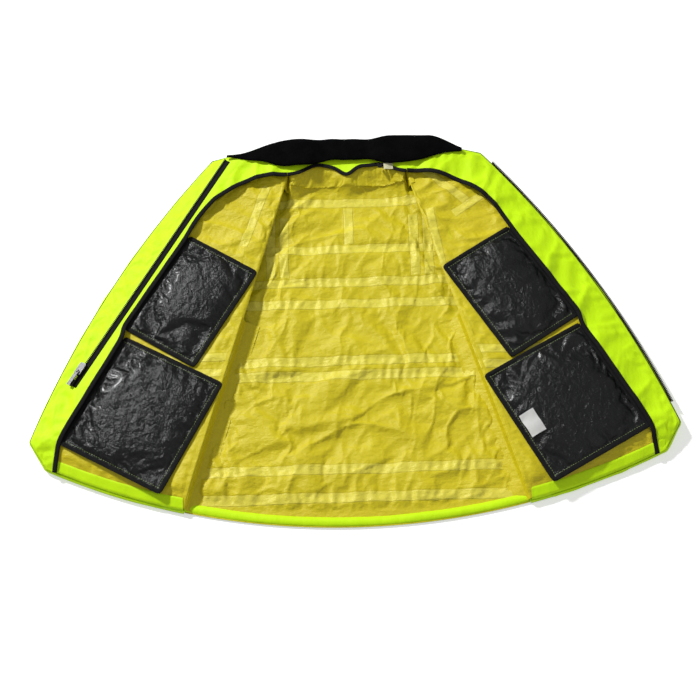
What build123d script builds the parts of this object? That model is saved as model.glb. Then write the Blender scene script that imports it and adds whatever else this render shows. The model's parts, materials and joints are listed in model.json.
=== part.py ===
from build123d import *
import os
from math import cos, radians, sin, sqrt, tan

os.makedirs("parts", exist_ok=True)

# Inflatable life jacket, opened out on its back with its inside up.
# Millimetres and degrees. The hem is towards -Y, the collar towards +Y.
# The wearer's left front lies at +X. Pairs are modelled there and mirrored to -X.

# Plan of the opened jacket
jacket_length = 744.0
hem_radius = 1317.0
neck_half_width = 110.0
back_hem_half_width = 300.0
hem_corner_reach = 245.0
front_foot_reach = 274.0
front_foot_rise = 164.0
front_edge_bow = 33.0
front_edge_top = (152.0, 22.0)
collar_end = (116.0, 17.0)
collar_depth = 42.0

# Cloth and its layers
shell_thickness = 1.0
lining_thickness = 0.8
facing_thickness = 0.8
tape_thickness = 0.3
tape_width = 20.0
band_depth = 0.4
binding_width = 7.0
binding_lap = 1.2
hem_facing_width = 22.0
fold_gap = 0.3

# Front slab, which holds the folded bladder
front_height = 28.0
facing_height = 37.4
facing_tilt = 15.0
hem_height = 12.0
hem_tilt = 20.0
lining_reach = 25.0
facing_foot_reach = 228.0
facing_shoulder = (130.0, 102.0)
facing_neck_drop = 22.0
lobe_height = 12.0
lobe_inset = 8.0
lobe_length = 470.0

# Armhole, between the back's margin and the front's lip
armhole_start = 40.0
armhole_length = 290.0
armhole_width = 35.0
margin_gap = 5.0
lip_thickness = 2.0

# Seam tapes on the back's lining: distance of each row below the collar's top, and
# each upright's place out from the middle with the distances of its two ends
tape_rows = (112.0, 213.0, 281.0, 325.0, 439.0, 467.0, 642.0, 692.0)
tape_edge_gap = 18.0
upright_tapes = ((0.0, 122.0, 203.0), (138.0, 140.0, 271.0))

# Reflective bands: distance of the middle below the collar's top on the back or down the
# fold on a front, and width
reflective_bands = ((304.0, 50.0), (453.0, 30.0), (667.0, 50.0))
front_bands = ((250.0, 50.0), (560.0, 50.0))

# Neck
neck_pad_half_width = 98.0
neck_edge_y_gap = 3.0
neck_dip = 17.0
neck_top_gap = 20.0
neck_binding_width = 5.0
collar_height = 8.0
collar_relief = 10.0
collar_end_base = 8.0
collar_end_height = 10.0
collar_end_gap = 1.0
neck_label_size = (18.0, 9.0)
neck_label_x = 80.0
hanger_size = (4.0, 12.0)
hanger_x = 62.0

# Pouches: distance of the inner top corner down the fold and out from it, turn from the fold,
# width and height
upper_pouch = {"down": 233.9, "out": -0.1, "turn": 15.6, "width": 150.0, "height": 215.0}
lower_pouch = {"down": 460.3, "out": -1.1, "turn": 12.1, "width": 203.0, "height": 222.0}
pouch_sheet = 0.6
pouch_depth = 6.0
pouch_lift = 0.5
pouch_hinge_gap = 2.0
gusset_width = 3.0
pouch_binding_width = 8.0
care_label_size = (30.0, 45.0)
care_label_drop = 95.0

# Front zip: distances down the fold and out from it
zip_top = (18.8, 124.6)
zip_foot = (528.5, 260.2)
zip_tape_width = 14.0
zip_tape_thickness = 0.5
zip_chain_width = 3.2
zip_chain_height = 2.4
slider_size = (24.0, 13.0, 7.0)
slider_gap = 0.4
slider_rest = 22.0
box_size = (13.0, 9.0, 5.0)
puller_size = (30.0, 7.0, 1.6)
puller_bar = 1.6
puller_lift = 1.2

# Inflation set
inflator_size = (44.0, 46.0, 24.0)
inflator_place = (474.0, 62.0)
floor_gap = 0.3
cylinder_diameter = 24.0
cylinder_length = 118.0
cylinder_neck_diameter = 12.0
cylinder_neck_length = 10.0
water_cap_diameter = 23.0
water_cap_length = 20.0
lever_size = (36.0, 10.0, 5.0)
lever_pin_diameter = 4.0
oral_place = (170.0, 150.0)
oral_tube_diameter = 10.0
oral_bore = 6.6
oral_tube_length = 84.0
oral_flange_diameter = 26.0
oral_flange_height = 2.0
oral_cap_wall = 1.3
oral_cap_length = 18.0
oral_cap_lap = 13.0
oral_fit = 0.3
valve_core_diameter = 6.0
valve_core_length = 12.0
valve_core_depth = 11.0

# Places worked out from the sizes above
half_length = jacket_length / 2
hem_low_y = -half_length
collar_top_y = half_length
neck_y = collar_top_y - collar_depth


def from_neck(place):
    # a place given as distance out from the neck's corner and distance below the collar's top
    return Vector(neck_half_width + place[0], collar_top_y - place[1])


def mirrored(point):
    return Vector(-point.X, point.Y)


def hem_y(x):
    return hem_low_y + hem_radius - sqrt(hem_radius ** 2 - x ** 2)


def hem_point(x):
    return Vector(x, hem_y(x))


fold_top = Vector(neck_half_width, neck_y)
fold_foot = hem_point(back_hem_half_width)
fold_length = (fold_foot - fold_top).length
fold_down = (fold_foot - fold_top).normalized()
fold_out = Vector(-fold_down.Y, fold_down.X)


def at_fold(down, out):
    return fold_top + fold_down * down + fold_out * out


edge_top = from_neck(front_edge_top)
edge_foot = Vector(back_hem_half_width + front_foot_reach, hem_low_y + front_foot_rise)
edge_down = (edge_foot - edge_top).normalized()
edge_out = Vector(-edge_down.Y, edge_down.X)
edge_middle = (edge_top + edge_foot) * 0.5 + edge_out * front_edge_bow
collar_tip = from_neck(collar_end)
hem_corner = hem_point(back_hem_half_width + hem_corner_reach)


def pouch_frame(pouch):
    # corner, direction across and direction down of a pouch in plan
    turn = radians(pouch["turn"])
    out = fold_out * cos(turn) - fold_down * sin(turn)
    return at_fold(pouch["down"], pouch["out"]), out, Vector(out.Y, -out.X)


def at_pouch(pouch, across, down):
    corner, out, along = pouch_frame(pouch)
    return corner + out * across + along * down


# The facing's free edge runs from the shoulder round the outer edge of both pouches to the hem
facing_gap = pouch_hinge_gap
facing_neck = at_fold(facing_neck_drop, fold_gap)
facing_upper = at_pouch(upper_pouch, upper_pouch["width"] + facing_gap, 0)
facing_middle = at_pouch(upper_pouch, upper_pouch["width"] + facing_gap, upper_pouch["height"])
facing_lower = at_pouch(lower_pouch, lower_pouch["width"] + facing_gap, 0)
facing_knee = at_pouch(lower_pouch, lower_pouch["width"] + facing_gap, lower_pouch["height"])
facing_foot = hem_point(back_hem_half_width + facing_foot_reach)
facing_turn = from_neck(facing_shoulder)

# The facing slopes down outwards from a crease along the pouches
crease_down = (facing_knee - facing_upper).normalized()
crease_out = Vector(-crease_down.Y, crease_down.X)
facing_normal = Vector(
    crease_out.X * sin(radians(facing_tilt)),
    crease_out.Y * sin(radians(facing_tilt)),
    cos(radians(facing_tilt)),
)
facing_plane = Plane(
    origin=(facing_upper.X, facing_upper.Y, facing_height),
    x_dir=(crease_down.X, crease_down.Y, 0),
    z_dir=facing_normal,
)

# The slab thins towards the hem
hem_chord = (hem_corner - fold_foot).normalized()
hem_out = Vector(hem_chord.Y, -hem_chord.X)
hem_plane = Plane(
    origin=(fold_foot.X, fold_foot.Y, hem_height),
    x_dir=(hem_chord.X, hem_chord.Y, 0),
    z_dir=(
        hem_out.X * sin(radians(hem_tilt)),
        hem_out.Y * sin(radians(hem_tilt)),
        cos(radians(hem_tilt)),
    ),
)


def roof_height(point):
    # height of the facing's underside over a plan point
    return facing_height - (point - facing_upper).dot(crease_out) * tan(radians(facing_tilt))


# over the hem's slope the facing lies on the lining and the hem facing
hem_layer = lining_thickness + facing_thickness
facing_base = hem_layer + fold_gap


def axis_of(plane):
    return Axis(origin=plane.origin, direction=plane.z_dir)


def under_roof(plan, flat_height, lift, hem_lift=0.0):
    # the prism over a plan, cut by the flat top, the facing's slope and the hem's slope
    with BuildPart() as prism:
        add(plan)
        extrude(amount=2 * facing_height)
        split(bisect_by=Plane.XY.offset(flat_height + lift), keep=Keep.BOTTOM)
        split(bisect_by=facing_plane.offset(lift), keep=Keep.BOTTOM)
        split(bisect_by=hem_plane.offset(lift + hem_lift), keep=Keep.BOTTOM)
    return prism.part


def polygon(*corners):
    with BuildSketch() as plan:
        with BuildLine():
            Polyline(*corners, close=True)
        make_face()
    return plan.sketch


def save(piece, name):
    piece.part.label = name
    export_step(piece.part, f"parts/{name}.step")


def save_right(piece, name):
    # the mirror image, on the wearer's right
    with BuildPart() as twin:
        mirror(piece.part, about=Plane.YZ)
    save(twin, name)


def save_pair(piece, name):
    save(piece, f"left_{name}")
    save_right(piece, f"right_{name}")


# ---------------------------------------------------------------- back
back_neck_corner = Vector(neck_half_width - neck_edge_y_gap - binding_width, collar_top_y - neck_top_gap)
margin_reach = armhole_width - margin_gap
margin_start = armhole_start + margin_gap
margin_end = armhole_start + armhole_length - margin_gap


def back_half_plan():
    # right half of the back with its armhole margin, which reaches out under the front's lip
    with BuildSketch() as plan:
        with BuildLine():
            Polyline(
                (0, collar_top_y - neck_top_gap),
                back_neck_corner,
                at_fold(0, -fold_gap),
                at_fold(margin_start, -fold_gap),
                at_fold(margin_start + margin_reach, margin_reach),
                at_fold(margin_end - margin_reach, margin_reach),
                at_fold(margin_end, -fold_gap),
                hem_point(back_hem_half_width - fold_gap),
            )
            ThreePointArc(
                hem_point(back_hem_half_width - fold_gap),
                hem_point(back_hem_half_width / 2),
                hem_point(0),
            )
            Line((0, hem_low_y), (0, collar_top_y - neck_top_gap))
        make_face()
    return plan.sketch


back_half = back_half_plan()
with BuildSketch() as back_plan:
    add(back_half)
    mirror(back_half, about=Plane.YZ)

# Reflective bands are let into the outside of the back
with BuildSketch() as band_rows:
    for drop, width in reflective_bands:
        with Locations((0, collar_top_y - drop)):
            Rectangle(4 * back_hem_half_width, width)
with BuildSketch() as band_plan:
    add(back_plan.sketch)
    add(band_rows.sketch, mode=Mode.INTERSECT)

with BuildPart() as back_bands:
    add(band_plan.sketch)
    extrude(amount=band_depth)
save(back_bands, "back_reflective_bands")

with BuildPart() as back_shell:
    add(back_plan.sketch)
    extrude(amount=shell_thickness)
    add(back_bands.part, mode=Mode.SUBTRACT)
save(back_shell, "back_shell")

back_lining_top = shell_thickness + lining_thickness
with BuildPart() as back_lining:
    with BuildSketch(Plane.XY.offset(shell_thickness)):
        add(back_plan.sketch)
    extrude(amount=lining_thickness)
save(back_lining, "back_lining")

with BuildSketch() as hem_facing_plan:
    with BuildLine():
        hem_inner_corner = at_fold(fold_length - hem_facing_width, -fold_gap)
        outer_hem = ThreePointArc(
            hem_point(-back_hem_half_width + fold_gap),
            hem_point(0),
            hem_point(back_hem_half_width - fold_gap),
        )
        inner_hem = ThreePointArc(
            hem_inner_corner,
            (0, hem_low_y + hem_facing_width),
            mirrored(hem_inner_corner),
        )
        Line(outer_hem @ 1, inner_hem @ 0)
        Line(inner_hem @ 1, outer_hem @ 0)
    make_face()
with BuildPart() as back_hem_facing:
    with BuildSketch(Plane.XY.offset(back_lining_top)):
        add(hem_facing_plan.sketch)
    extrude(amount=facing_thickness)
save(back_hem_facing, "back_hem_facing")

# Heat-sealed tapes over the stitch rows
with BuildSketch() as tape_plan:
    for drop in tape_rows:
        with Locations((0, collar_top_y - drop)):
            Rectangle(4 * back_hem_half_width, tape_width)
with BuildSketch() as tape_field:
    with BuildLine():
        Polyline(
            at_fold(0, -tape_edge_gap),
            at_fold(fold_length - hem_facing_width, -tape_edge_gap),
            mirrored(at_fold(fold_length - hem_facing_width, -tape_edge_gap)),
            mirrored(at_fold(0, -tape_edge_gap)),
            close=True,
        )
    make_face()
with BuildPart() as back_tapes:
    with BuildSketch(Plane.XY.offset(back_lining_top)):
        add(tape_plan.sketch)
        add(tape_field.sketch, mode=Mode.INTERSECT)
        for middle, start, end in upright_tapes:
            with Locations((middle, collar_top_y - (start + end) / 2)):
                Rectangle(tape_width, end - start)
        add(hem_facing_plan.sketch, mode=Mode.SUBTRACT)
    extrude(amount=tape_thickness)
save(back_tapes, "back_seam_tapes")

# ---------------------------------------------------------------- neck
neck_edge_y = neck_y + neck_edge_y_gap
neck_back_y = collar_top_y - neck_top_gap
neck_plan = polygon(
    (-neck_pad_half_width, neck_edge_y),
    (0, neck_edge_y - neck_dip),
    (neck_pad_half_width, neck_edge_y),
    (neck_pad_half_width, neck_back_y),
    (-neck_pad_half_width, neck_back_y),
)
with BuildPart() as bladder_neck:
    with BuildSketch(Plane.XY.offset(back_lining_top)):
        add(neck_plan)
    extrude(amount=front_height - back_lining_top)
save(bladder_neck, "bladder_neck")

neck_facing_top = front_height + facing_thickness
with BuildPart() as neck_facing:
    with BuildSketch(Plane.XY.offset(front_height)):
        add(neck_plan)
    extrude(amount=facing_thickness)
save(neck_facing, "neck_facing")

neck_binding_plan = polygon(
    (-neck_pad_half_width, neck_edge_y),
    (0, neck_edge_y - neck_dip),
    (neck_pad_half_width, neck_edge_y),
    (neck_pad_half_width, neck_edge_y - neck_binding_width),
    (0, neck_edge_y - neck_dip - neck_binding_width),
    (-neck_pad_half_width, neck_edge_y - neck_binding_width),
)
with BuildPart() as neck_binding:
    with BuildSketch(Plane.XY.offset(front_height)):
        add(neck_binding_plan)
    extrude(amount=facing_thickness + binding_lap)
save(neck_binding, "neck_binding")

collar_front_y = neck_y + neck_edge_y_gap + neck_binding_width
with BuildPart() as collar:
    with BuildSketch(Plane.XY.offset(neck_facing_top)):
        with BuildLine():
            Polyline(
                (-neck_pad_half_width, collar_front_y),
                (neck_pad_half_width, collar_front_y),
                (neck_pad_half_width - collar_relief, collar_top_y),
                (-neck_pad_half_width + collar_relief, collar_top_y),
                close=True,
            )
        make_face()
    extrude(amount=collar_height)
    fillet(collar.edges().filter_by(Axis.X).group_by(Axis.Z)[-1], collar_height / 4)
save(collar, "collar_centre")

with BuildPart() as collar_end_piece:
    with BuildSketch(Plane.XY.offset(collar_end_base)):
        with BuildLine():
            Polyline(at_fold(-collar_end_gap, fold_gap), at_fold(-collar_depth, fold_gap), collar_tip, close=True)
        make_face()
    extrude(amount=collar_end_height)
save_pair(collar_end_piece, "collar_end")

with BuildPart() as neck_label:
    with BuildSketch(Plane.XY.offset(neck_facing_top + collar_height)):
        with Locations((neck_label_x, collar_front_y + neck_label_size[1])):
            Rectangle(*neck_label_size)
    extrude(amount=tape_thickness)
save(neck_label, "neck_label")

with BuildPart() as hanger_loop:
    with BuildSketch(Plane.XY.offset(neck_facing_top + collar_height)):
        with Locations((hanger_x, collar_front_y + hanger_size[1] / 2)):
            SlotOverall(hanger_size[1], hanger_size[0], rotation=90)
    extrude(amount=binding_lap)
save(hanger_loop, "hanger_loop")


# ---------------------------------------------------------------- fronts
def front_outline(gap):
    with BuildSketch() as plan:
        with BuildLine():
            foot = hem_point(back_hem_half_width + gap / fold_out.X)
            Polyline(foot, at_fold(0, gap), collar_tip, edge_top)
            ThreePointArc(edge_top, edge_middle, edge_foot)
            Line(edge_foot, hem_corner)
            middle_x = (hem_corner.X + foot.X) / 2
            ThreePointArc(hem_corner, hem_point(middle_x), foot)
        make_face()
    return plan.sketch


front_plan = front_outline(fold_gap)
armhole_plan = polygon(
    at_fold(armhole_start, -binding_width),
    at_fold(armhole_start + armhole_length, -binding_width),
    at_fold(armhole_start + armhole_length, armhole_width),
    at_fold(armhole_start, armhole_width),
)
with BuildSketch() as tray_plan:
    add(front_plan)
    add(armhole_plan, mode=Mode.SUBTRACT)
tray_inside = offset(tray_plan.sketch, amount=-shell_thickness, kind=Kind.ARC, mode=Mode.PRIVATE)
tray_block = under_roof(tray_plan.sketch, front_height, 0)

with BuildSketch() as front_band_plan:
    for down, width in front_bands:
        add(polygon(
            at_fold(down, -binding_width),
            at_fold(down + width, -binding_width),
            at_fold(down + width, 2 * back_hem_half_width),
            at_fold(down, 2 * back_hem_half_width),
        ))
    add(tray_plan.sketch, mode=Mode.INTERSECT)
with BuildPart() as front_band:
    add(front_band_plan.sketch)
    extrude(amount=band_depth)
save_pair(front_band, "front_reflective_bands")

with BuildPart() as front_shell:
    add(tray_block)
    with BuildSketch(Plane.XY.offset(shell_thickness)):
        add(tray_inside)
    extrude(amount=2 * facing_height, mode=Mode.SUBTRACT)
    add(front_band.part, mode=Mode.SUBTRACT)
save_pair(front_shell, "front_shell")

with BuildPart() as armhole_lip:
    with BuildSketch(Plane.XY.offset(front_height - lip_thickness)):
        add(polygon(
            at_fold(armhole_start, fold_gap),
            at_fold(armhole_start + armhole_length, fold_gap),
            at_fold(armhole_start + armhole_length, armhole_width),
            at_fold(armhole_start, armhole_width),
        ))
    extrude(amount=lip_thickness)
save_pair(armhole_lip, "armhole_lip")

# The lining covers the slab and runs on a little under the facing
with BuildSketch() as lining_field:
    add(front_plan)
    reach = facing_upper + crease_out * lining_reach
    add(polygon(
        reach - crease_down * jacket_length,
        reach + crease_down * jacket_length,
        reach + crease_down * jacket_length - crease_out * jacket_length,
        reach - crease_down * jacket_length - crease_out * jacket_length,
    ), mode=Mode.INTERSECT)
lining_over = under_roof(lining_field.sketch, front_height, lining_thickness)
lining_under = under_roof(lining_field.sketch, front_height, 0)
with BuildPart() as front_lining:
    add(lining_over)
    add(lining_under, mode=Mode.SUBTRACT)
save_pair(front_lining, "front_lining")

# Hem facing of the front, over the lining, up to the front facing
with BuildSketch() as front_hem_plan:
    with BuildLine():
        foot = hem_point(back_hem_half_width + fold_gap / fold_out.X)
        outer = ThreePointArc(foot, hem_point((foot.X + facing_foot.X) / 2), facing_foot)
        rise = hem_out * -hem_facing_width
        inner = ThreePointArc(
            facing_foot + rise, hem_point((foot.X + facing_foot.X) / 2) + rise, foot + rise)
        Line(outer @ 1, inner @ 0)
        Line(inner @ 1, outer @ 0)
    make_face()
    add(front_plan, mode=Mode.INTERSECT)
front_hem_over = under_roof(front_hem_plan.sketch, front_height, hem_layer)
front_hem_under = under_roof(front_hem_plan.sketch, front_height, lining_thickness)
with BuildPart() as front_hem:
    add(front_hem_over)
    add(front_hem_under, mode=Mode.SUBTRACT)
save_pair(front_hem, "front_hem_facing")

# Front facing, from the shoulder down to the hem, sloping down to the front edge
with BuildSketch() as facing_plan:
    with BuildLine():
        neck_curve = ThreePointArc(facing_neck, facing_turn, facing_upper)
        Polyline(neck_curve @ 1, facing_middle, facing_lower, facing_knee, facing_foot)
        ThreePointArc(
            facing_foot, hem_point((facing_foot.X + hem_corner.X) / 2), hem_corner)
        Line(hem_corner, edge_foot)
        ThreePointArc(edge_foot, edge_middle, edge_top)
        Polyline(edge_top, collar_tip, at_fold(0, fold_gap), facing_neck)
    make_face()
facing_over = under_roof(facing_plan.sketch, facing_height, facing_thickness, facing_base)
facing_under = under_roof(facing_plan.sketch, facing_height, 0, facing_base)
with BuildPart() as front_facing:
    add(facing_over)
    add(facing_under, mode=Mode.SUBTRACT)
save_pair(front_facing, "front_facing")

# Binding over the facing's free edge
with BuildSketch() as binding_plan:
    with BuildLine():
        edge = ThreePointArc(facing_neck, facing_turn, facing_upper)
        Polyline(edge @ 1, facing_middle, facing_lower, facing_knee, facing_foot)
        shift = crease_out * binding_width
        back_edge = ThreePointArc(
            facing_neck + Vector(0, binding_width), facing_turn + shift, facing_upper + shift)
        Polyline(
            back_edge @ 1,
            facing_middle + shift,
            facing_lower + shift,
            facing_knee + shift,
            hem_point(facing_foot.X + binding_width),
        )
        Line(edge @ 0, back_edge @ 0)
        Line(facing_foot, hem_point(facing_foot.X + binding_width))
    make_face()
    add(facing_plan.sketch, mode=Mode.INTERSECT)
binding_height = facing_thickness + binding_lap
binding_over = under_roof(binding_plan.sketch, facing_height, binding_height, facing_base)
binding_under = under_roof(binding_plan.sketch, facing_height, facing_thickness, facing_base)
with BuildPart() as facing_binding:
    add(binding_over)
    add(binding_under, mode=Mode.SUBTRACT)
save_pair(facing_binding, "facing_binding")

# Folded bladder lobe inside the slab
lobe_outline = offset(
    tray_plan.sketch, amount=-lobe_inset, kind=Kind.ARC, mode=Mode.PRIVATE)
with BuildPart() as bladder_lobe:
    with BuildSketch(Plane.XY.offset(shell_thickness)):
        add(lobe_outline)
        add(polygon(
            at_fold(0, -jacket_length),
            at_fold(0, jacket_length),
            at_fold(lobe_length, jacket_length),
            at_fold(lobe_length, -jacket_length),
        ), mode=Mode.INTERSECT)
    extrude(amount=lobe_height)
save_pair(bladder_lobe, "bladder_lobe")

# ---------------------------------------------------------------- pouches
pouch_base = front_height + lining_thickness + pouch_lift
pouch_top = pouch_base + 2 * pouch_sheet + pouch_depth


def pouch_box(pouch, across, down, base, height):
    # a box over part of a pouch; across and down are its two limits each way
    with BuildPart() as box:
        with BuildSketch(Plane.XY.offset(base)):
            add(polygon(
                at_pouch(pouch, across[0], down[0]),
                at_pouch(pouch, across[1], down[0]),
                at_pouch(pouch, across[1], down[1]),
                at_pouch(pouch, across[0], down[1]),
            ))
        extrude(amount=height)
    return box.part


for level, pouch in (("upper", upper_pouch), ("lower", lower_pouch)):
    width = pouch["width"]
    height = pouch["height"]
    sheet = ((pouch_binding_width, width), (0, height))
    back_sheet = pouch_box(pouch, *sheet, pouch_base, pouch_sheet)
    front_sheet = pouch_box(
        pouch, (pouch_binding_width, width), (pouch_binding_width, height),
        pouch_top - pouch_sheet, pouch_sheet)
    inside = pouch_base + pouch_sheet
    outer_gusset = pouch_box(pouch, (width - gusset_width, width), (0, height), inside, pouch_depth)
    foot_gusset = pouch_box(
        pouch, (pouch_binding_width, width - gusset_width), (height - gusset_width, height),
        inside, pouch_depth)
    inner_binding = pouch_box(
        pouch, (0, pouch_binding_width), (0, height), pouch_base, pouch_top - pouch_base)
    mouth_binding = pouch_box(
        pouch, (pouch_binding_width, width), (0, pouch_binding_width),
        pouch_top - pouch_sheet, pouch_sheet)

    with BuildPart() as pouch_back:
        add(back_sheet)
    save_pair(pouch_back, f"{level}_pouch_back")

    with BuildPart() as pouch_front:
        add(front_sheet)
    save_pair(pouch_front, f"{level}_pouch_front")

    with BuildPart() as pouch_gusset:
        add(outer_gusset)
        add(foot_gusset)
    save_pair(pouch_gusset, f"{level}_pouch_gusset")

    with BuildPart() as pouch_binding:
        add(inner_binding)
        add(mouth_binding)
    save_pair(pouch_binding, f"{level}_pouch_binding")

care_label_plate = pouch_box(
    lower_pouch,
    (pouch_binding_width, pouch_binding_width + care_label_size[0]),
    (care_label_drop, care_label_drop + care_label_size[1]),
    pouch_top, tape_thickness)
with BuildPart() as care_label:
    add(care_label_plate)
save(care_label, "care_label")

# ---------------------------------------------------------------- front zip
zip_start = at_fold(*zip_top)
zip_end = at_fold(*zip_foot)


def on_facing(point, lift=0.0):
    # the point on the facing's upper face over a plan point, raised along the slope's normal
    base = Vector(point.X, point.Y, roof_height(point))
    return base + facing_normal * (facing_thickness + lift)


zip_up = (on_facing(zip_start) - on_facing(zip_end)).normalized()
zip_plane = Plane(origin=on_facing(zip_end), x_dir=zip_up, z_dir=facing_normal)
zip_length = (on_facing(zip_start) - on_facing(zip_end)).length

# On the wearer's right the zip is set inside the edge, with its chain outwards.
# zip_plane's X runs up the zip and its Y points to the fold side.
with BuildPart() as zip_tape:
    with BuildSketch(zip_plane):
        with Locations((zip_length / 2, zip_tape_width / 2 - zip_chain_width)):
            Rectangle(zip_length, zip_tape_width)
    extrude(amount=zip_tape_thickness)
save_right(zip_tape, "right_zip_tape")

chain_start = box_size[0] - slider_gap
with BuildPart() as zip_chain:
    with BuildSketch(zip_plane.offset(zip_tape_thickness)):
        with Locations(((zip_length + chain_start) / 2, -zip_chain_width / 2)):
            Rectangle(zip_length - chain_start, zip_chain_width)
    extrude(amount=zip_chain_height)
save_right(zip_chain, "right_zip_chain")

with BuildPart() as zip_box:
    with BuildSketch(zip_plane.offset(zip_tape_thickness)):
        with Locations((box_size[0] / 2 - slider_gap, -zip_chain_width / 2)):
            Rectangle(box_size[0] - 2 * slider_gap, box_size[1])
    extrude(amount=box_size[2])
    fillet(zip_box.faces().sort_by(axis_of(zip_plane))[-1].edges(), binding_lap)
save_right(zip_box, "right_zip_box")

# Slider: a block with a channel over the chain, and two lugs for the puller's bar
slider_base = zip_tape_thickness + slider_gap
with BuildPart() as zip_slider:
    with BuildSketch(zip_plane.offset(slider_base)):
        with Locations((slider_rest + slider_size[0] / 2, -zip_chain_width / 2)):
            RectangleRounded(slider_size[0], slider_size[1], slider_size[1] / 4)
    extrude(amount=slider_size[2] - slider_base)
    with BuildSketch(zip_plane.offset(slider_base)):
        with Locations((slider_rest + slider_size[0] / 2, -zip_chain_width / 2)):
            Rectangle(2 * slider_size[0], zip_chain_width + 2 * slider_gap)
    extrude(amount=zip_chain_height, mode=Mode.SUBTRACT)
    with BuildSketch(zip_plane.offset(slider_size[2])):
        with Locations((slider_rest + slider_size[0] / 4, -zip_chain_width / 2)):
            Rectangle(slider_size[1] / 3, slider_size[1] / 5)
    extrude(amount=puller_lift + puller_bar + binding_lap)
    with Locations(zip_plane.offset(slider_size[2] + puller_lift + puller_bar / 2)):
        with Locations(Location((slider_rest + slider_size[0] / 4, -zip_chain_width / 2, 0), (90, 0, 0))):
            Cylinder(puller_bar / 2 + slider_gap / 2, slider_size[1], mode=Mode.SUBTRACT)
save_right(zip_slider, "zip_slider")

puller_axis_lift = slider_size[2] + puller_lift + puller_bar / 2
with BuildPart() as zip_puller:
    with Locations(zip_plane.offset(puller_axis_lift)):
        with Locations(Location((slider_rest + slider_size[0] / 4, -zip_chain_width / 2, 0), (90, 0, 0))):
            Cylinder(puller_bar / 2, puller_size[1])
    with BuildSketch(zip_plane.offset(puller_axis_lift - puller_bar / 2)):
        with Locations((slider_rest + slider_size[0] / 4 - puller_size[0] / 2, -zip_chain_width / 2)):
            Rectangle(puller_size[0], puller_size[1])
        with Locations((slider_rest + slider_size[0] / 4, -zip_chain_width / 2)):
            Rectangle(slider_size[1] / 3 + 2 * slider_gap + puller_bar, slider_size[1] / 5 + 2 * slider_gap,
                      mode=Mode.SUBTRACT)
    extrude(amount=puller_bar)
save_right(zip_puller, "zip_puller")

# On the wearer's left the zip is at the very edge
with BuildSketch() as edge_zip_plan:
    with BuildLine():
        outer = ThreePointArc(edge_top, edge_middle, edge_foot)
        shift = edge_out * -zip_tape_width
        inner = ThreePointArc(edge_foot + shift, edge_middle + shift, edge_top + shift)
        Line(outer @ 1, inner @ 0)
        Line(inner @ 1, outer @ 0)
    make_face()
    add(facing_plan.sketch, mode=Mode.INTERSECT)
    with Locations(hem_corner):
        Circle(binding_width, mode=Mode.SUBTRACT)
edge_chain_lift = facing_thickness + zip_tape_thickness
edge_tape_over = under_roof(edge_zip_plan.sketch, facing_height, edge_chain_lift, facing_base)
edge_tape_under = under_roof(edge_zip_plan.sketch, facing_height, facing_thickness, facing_base)
with BuildPart() as edge_zip_tape:
    add(edge_tape_over)
    add(edge_tape_under, mode=Mode.SUBTRACT)
save(edge_zip_tape, "left_zip_tape")

with BuildSketch() as edge_chain_plan:
    with BuildLine():
        outer = ThreePointArc(edge_top, edge_middle, edge_foot)
        shift = edge_out * -zip_chain_width
        inner = ThreePointArc(edge_foot + shift, edge_middle + shift, edge_top + shift)
        Line(outer @ 1, inner @ 0)
        Line(inner @ 1, outer @ 0)
    make_face()
    add(edge_zip_plan.sketch, mode=Mode.INTERSECT)
edge_chain_top = edge_chain_lift + zip_chain_height
edge_chain_over = under_roof(edge_chain_plan.sketch, facing_height, edge_chain_top, facing_base)
edge_chain_under = under_roof(edge_chain_plan.sketch, facing_height, edge_chain_lift, facing_base)
with BuildPart() as edge_zip_chain:
    add(edge_chain_over)
    add(edge_chain_under, mode=Mode.SUBTRACT)
save(edge_zip_chain, "left_zip_chain")

# ---------------------------------------------------------------- inflation set
set_down, set_out = inflator_place
set_height = shell_thickness + floor_gap + inflator_size[2] / 2
set_middle = at_fold(set_down + inflator_size[1] / 2, set_out)
set_plane = Plane(
    origin=(set_middle.X, set_middle.Y, set_height),
    x_dir=(fold_out.X, fold_out.Y, 0),
    z_dir=(0, 0, 1),
)
# the set's X runs outwards from the fold; the cylinder screws in on its outer side
body_length, body_width, body_height = inflator_size
# The lever lies along the body's foot side, on a pin that stands on the body's foot plate
lever_place = (lever_size[1] / 2, -body_width / 2 - lever_size[1] / 2 - floor_gap)
lever_plane = Plane(
    origin=set_plane.from_local_coords((lever_place[0], lever_place[1], 0)),
    x_dir=set_plane.x_dir,
    z_dir=(0, 0, 1),
)
foot_top = -lever_size[2] / 2 - floor_gap
with BuildPart() as inflator_body:
    with BuildSketch(set_plane.offset(-body_height / 2 - floor_gap)):
        with Locations((body_length / 2, 0)):
            RectangleRounded(body_length, body_width, body_height / 4)
    extrude(amount=body_height)
    fillet(inflator_body.faces().sort_by(Axis.Z)[-1].edges(), body_height / 10)
    with BuildSketch(set_plane.offset(-body_height / 2 - floor_gap)):
        with Locations((body_length / 4, lever_place[1] / 2)):
            Rectangle(body_length / 2, -lever_place[1] + lever_size[1])
    extrude(amount=body_height / 2 + floor_gap + foot_top)
    with BuildSketch(lever_plane.offset(foot_top)):
        Circle(lever_pin_diameter / 2)
    extrude(amount=lever_size[2] + floor_gap + binding_lap)
    with Locations(set_plane):
        with Locations(Location((body_length, 0, 0), (0, 90, 0))):
            Cylinder(
                cylinder_neck_diameter / 2 + slider_gap, cylinder_neck_length + slider_gap,
                align=(Align.CENTER, Align.CENTER, Align.MAX), mode=Mode.SUBTRACT)
save_right(inflator_body, "inflator_body")

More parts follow.
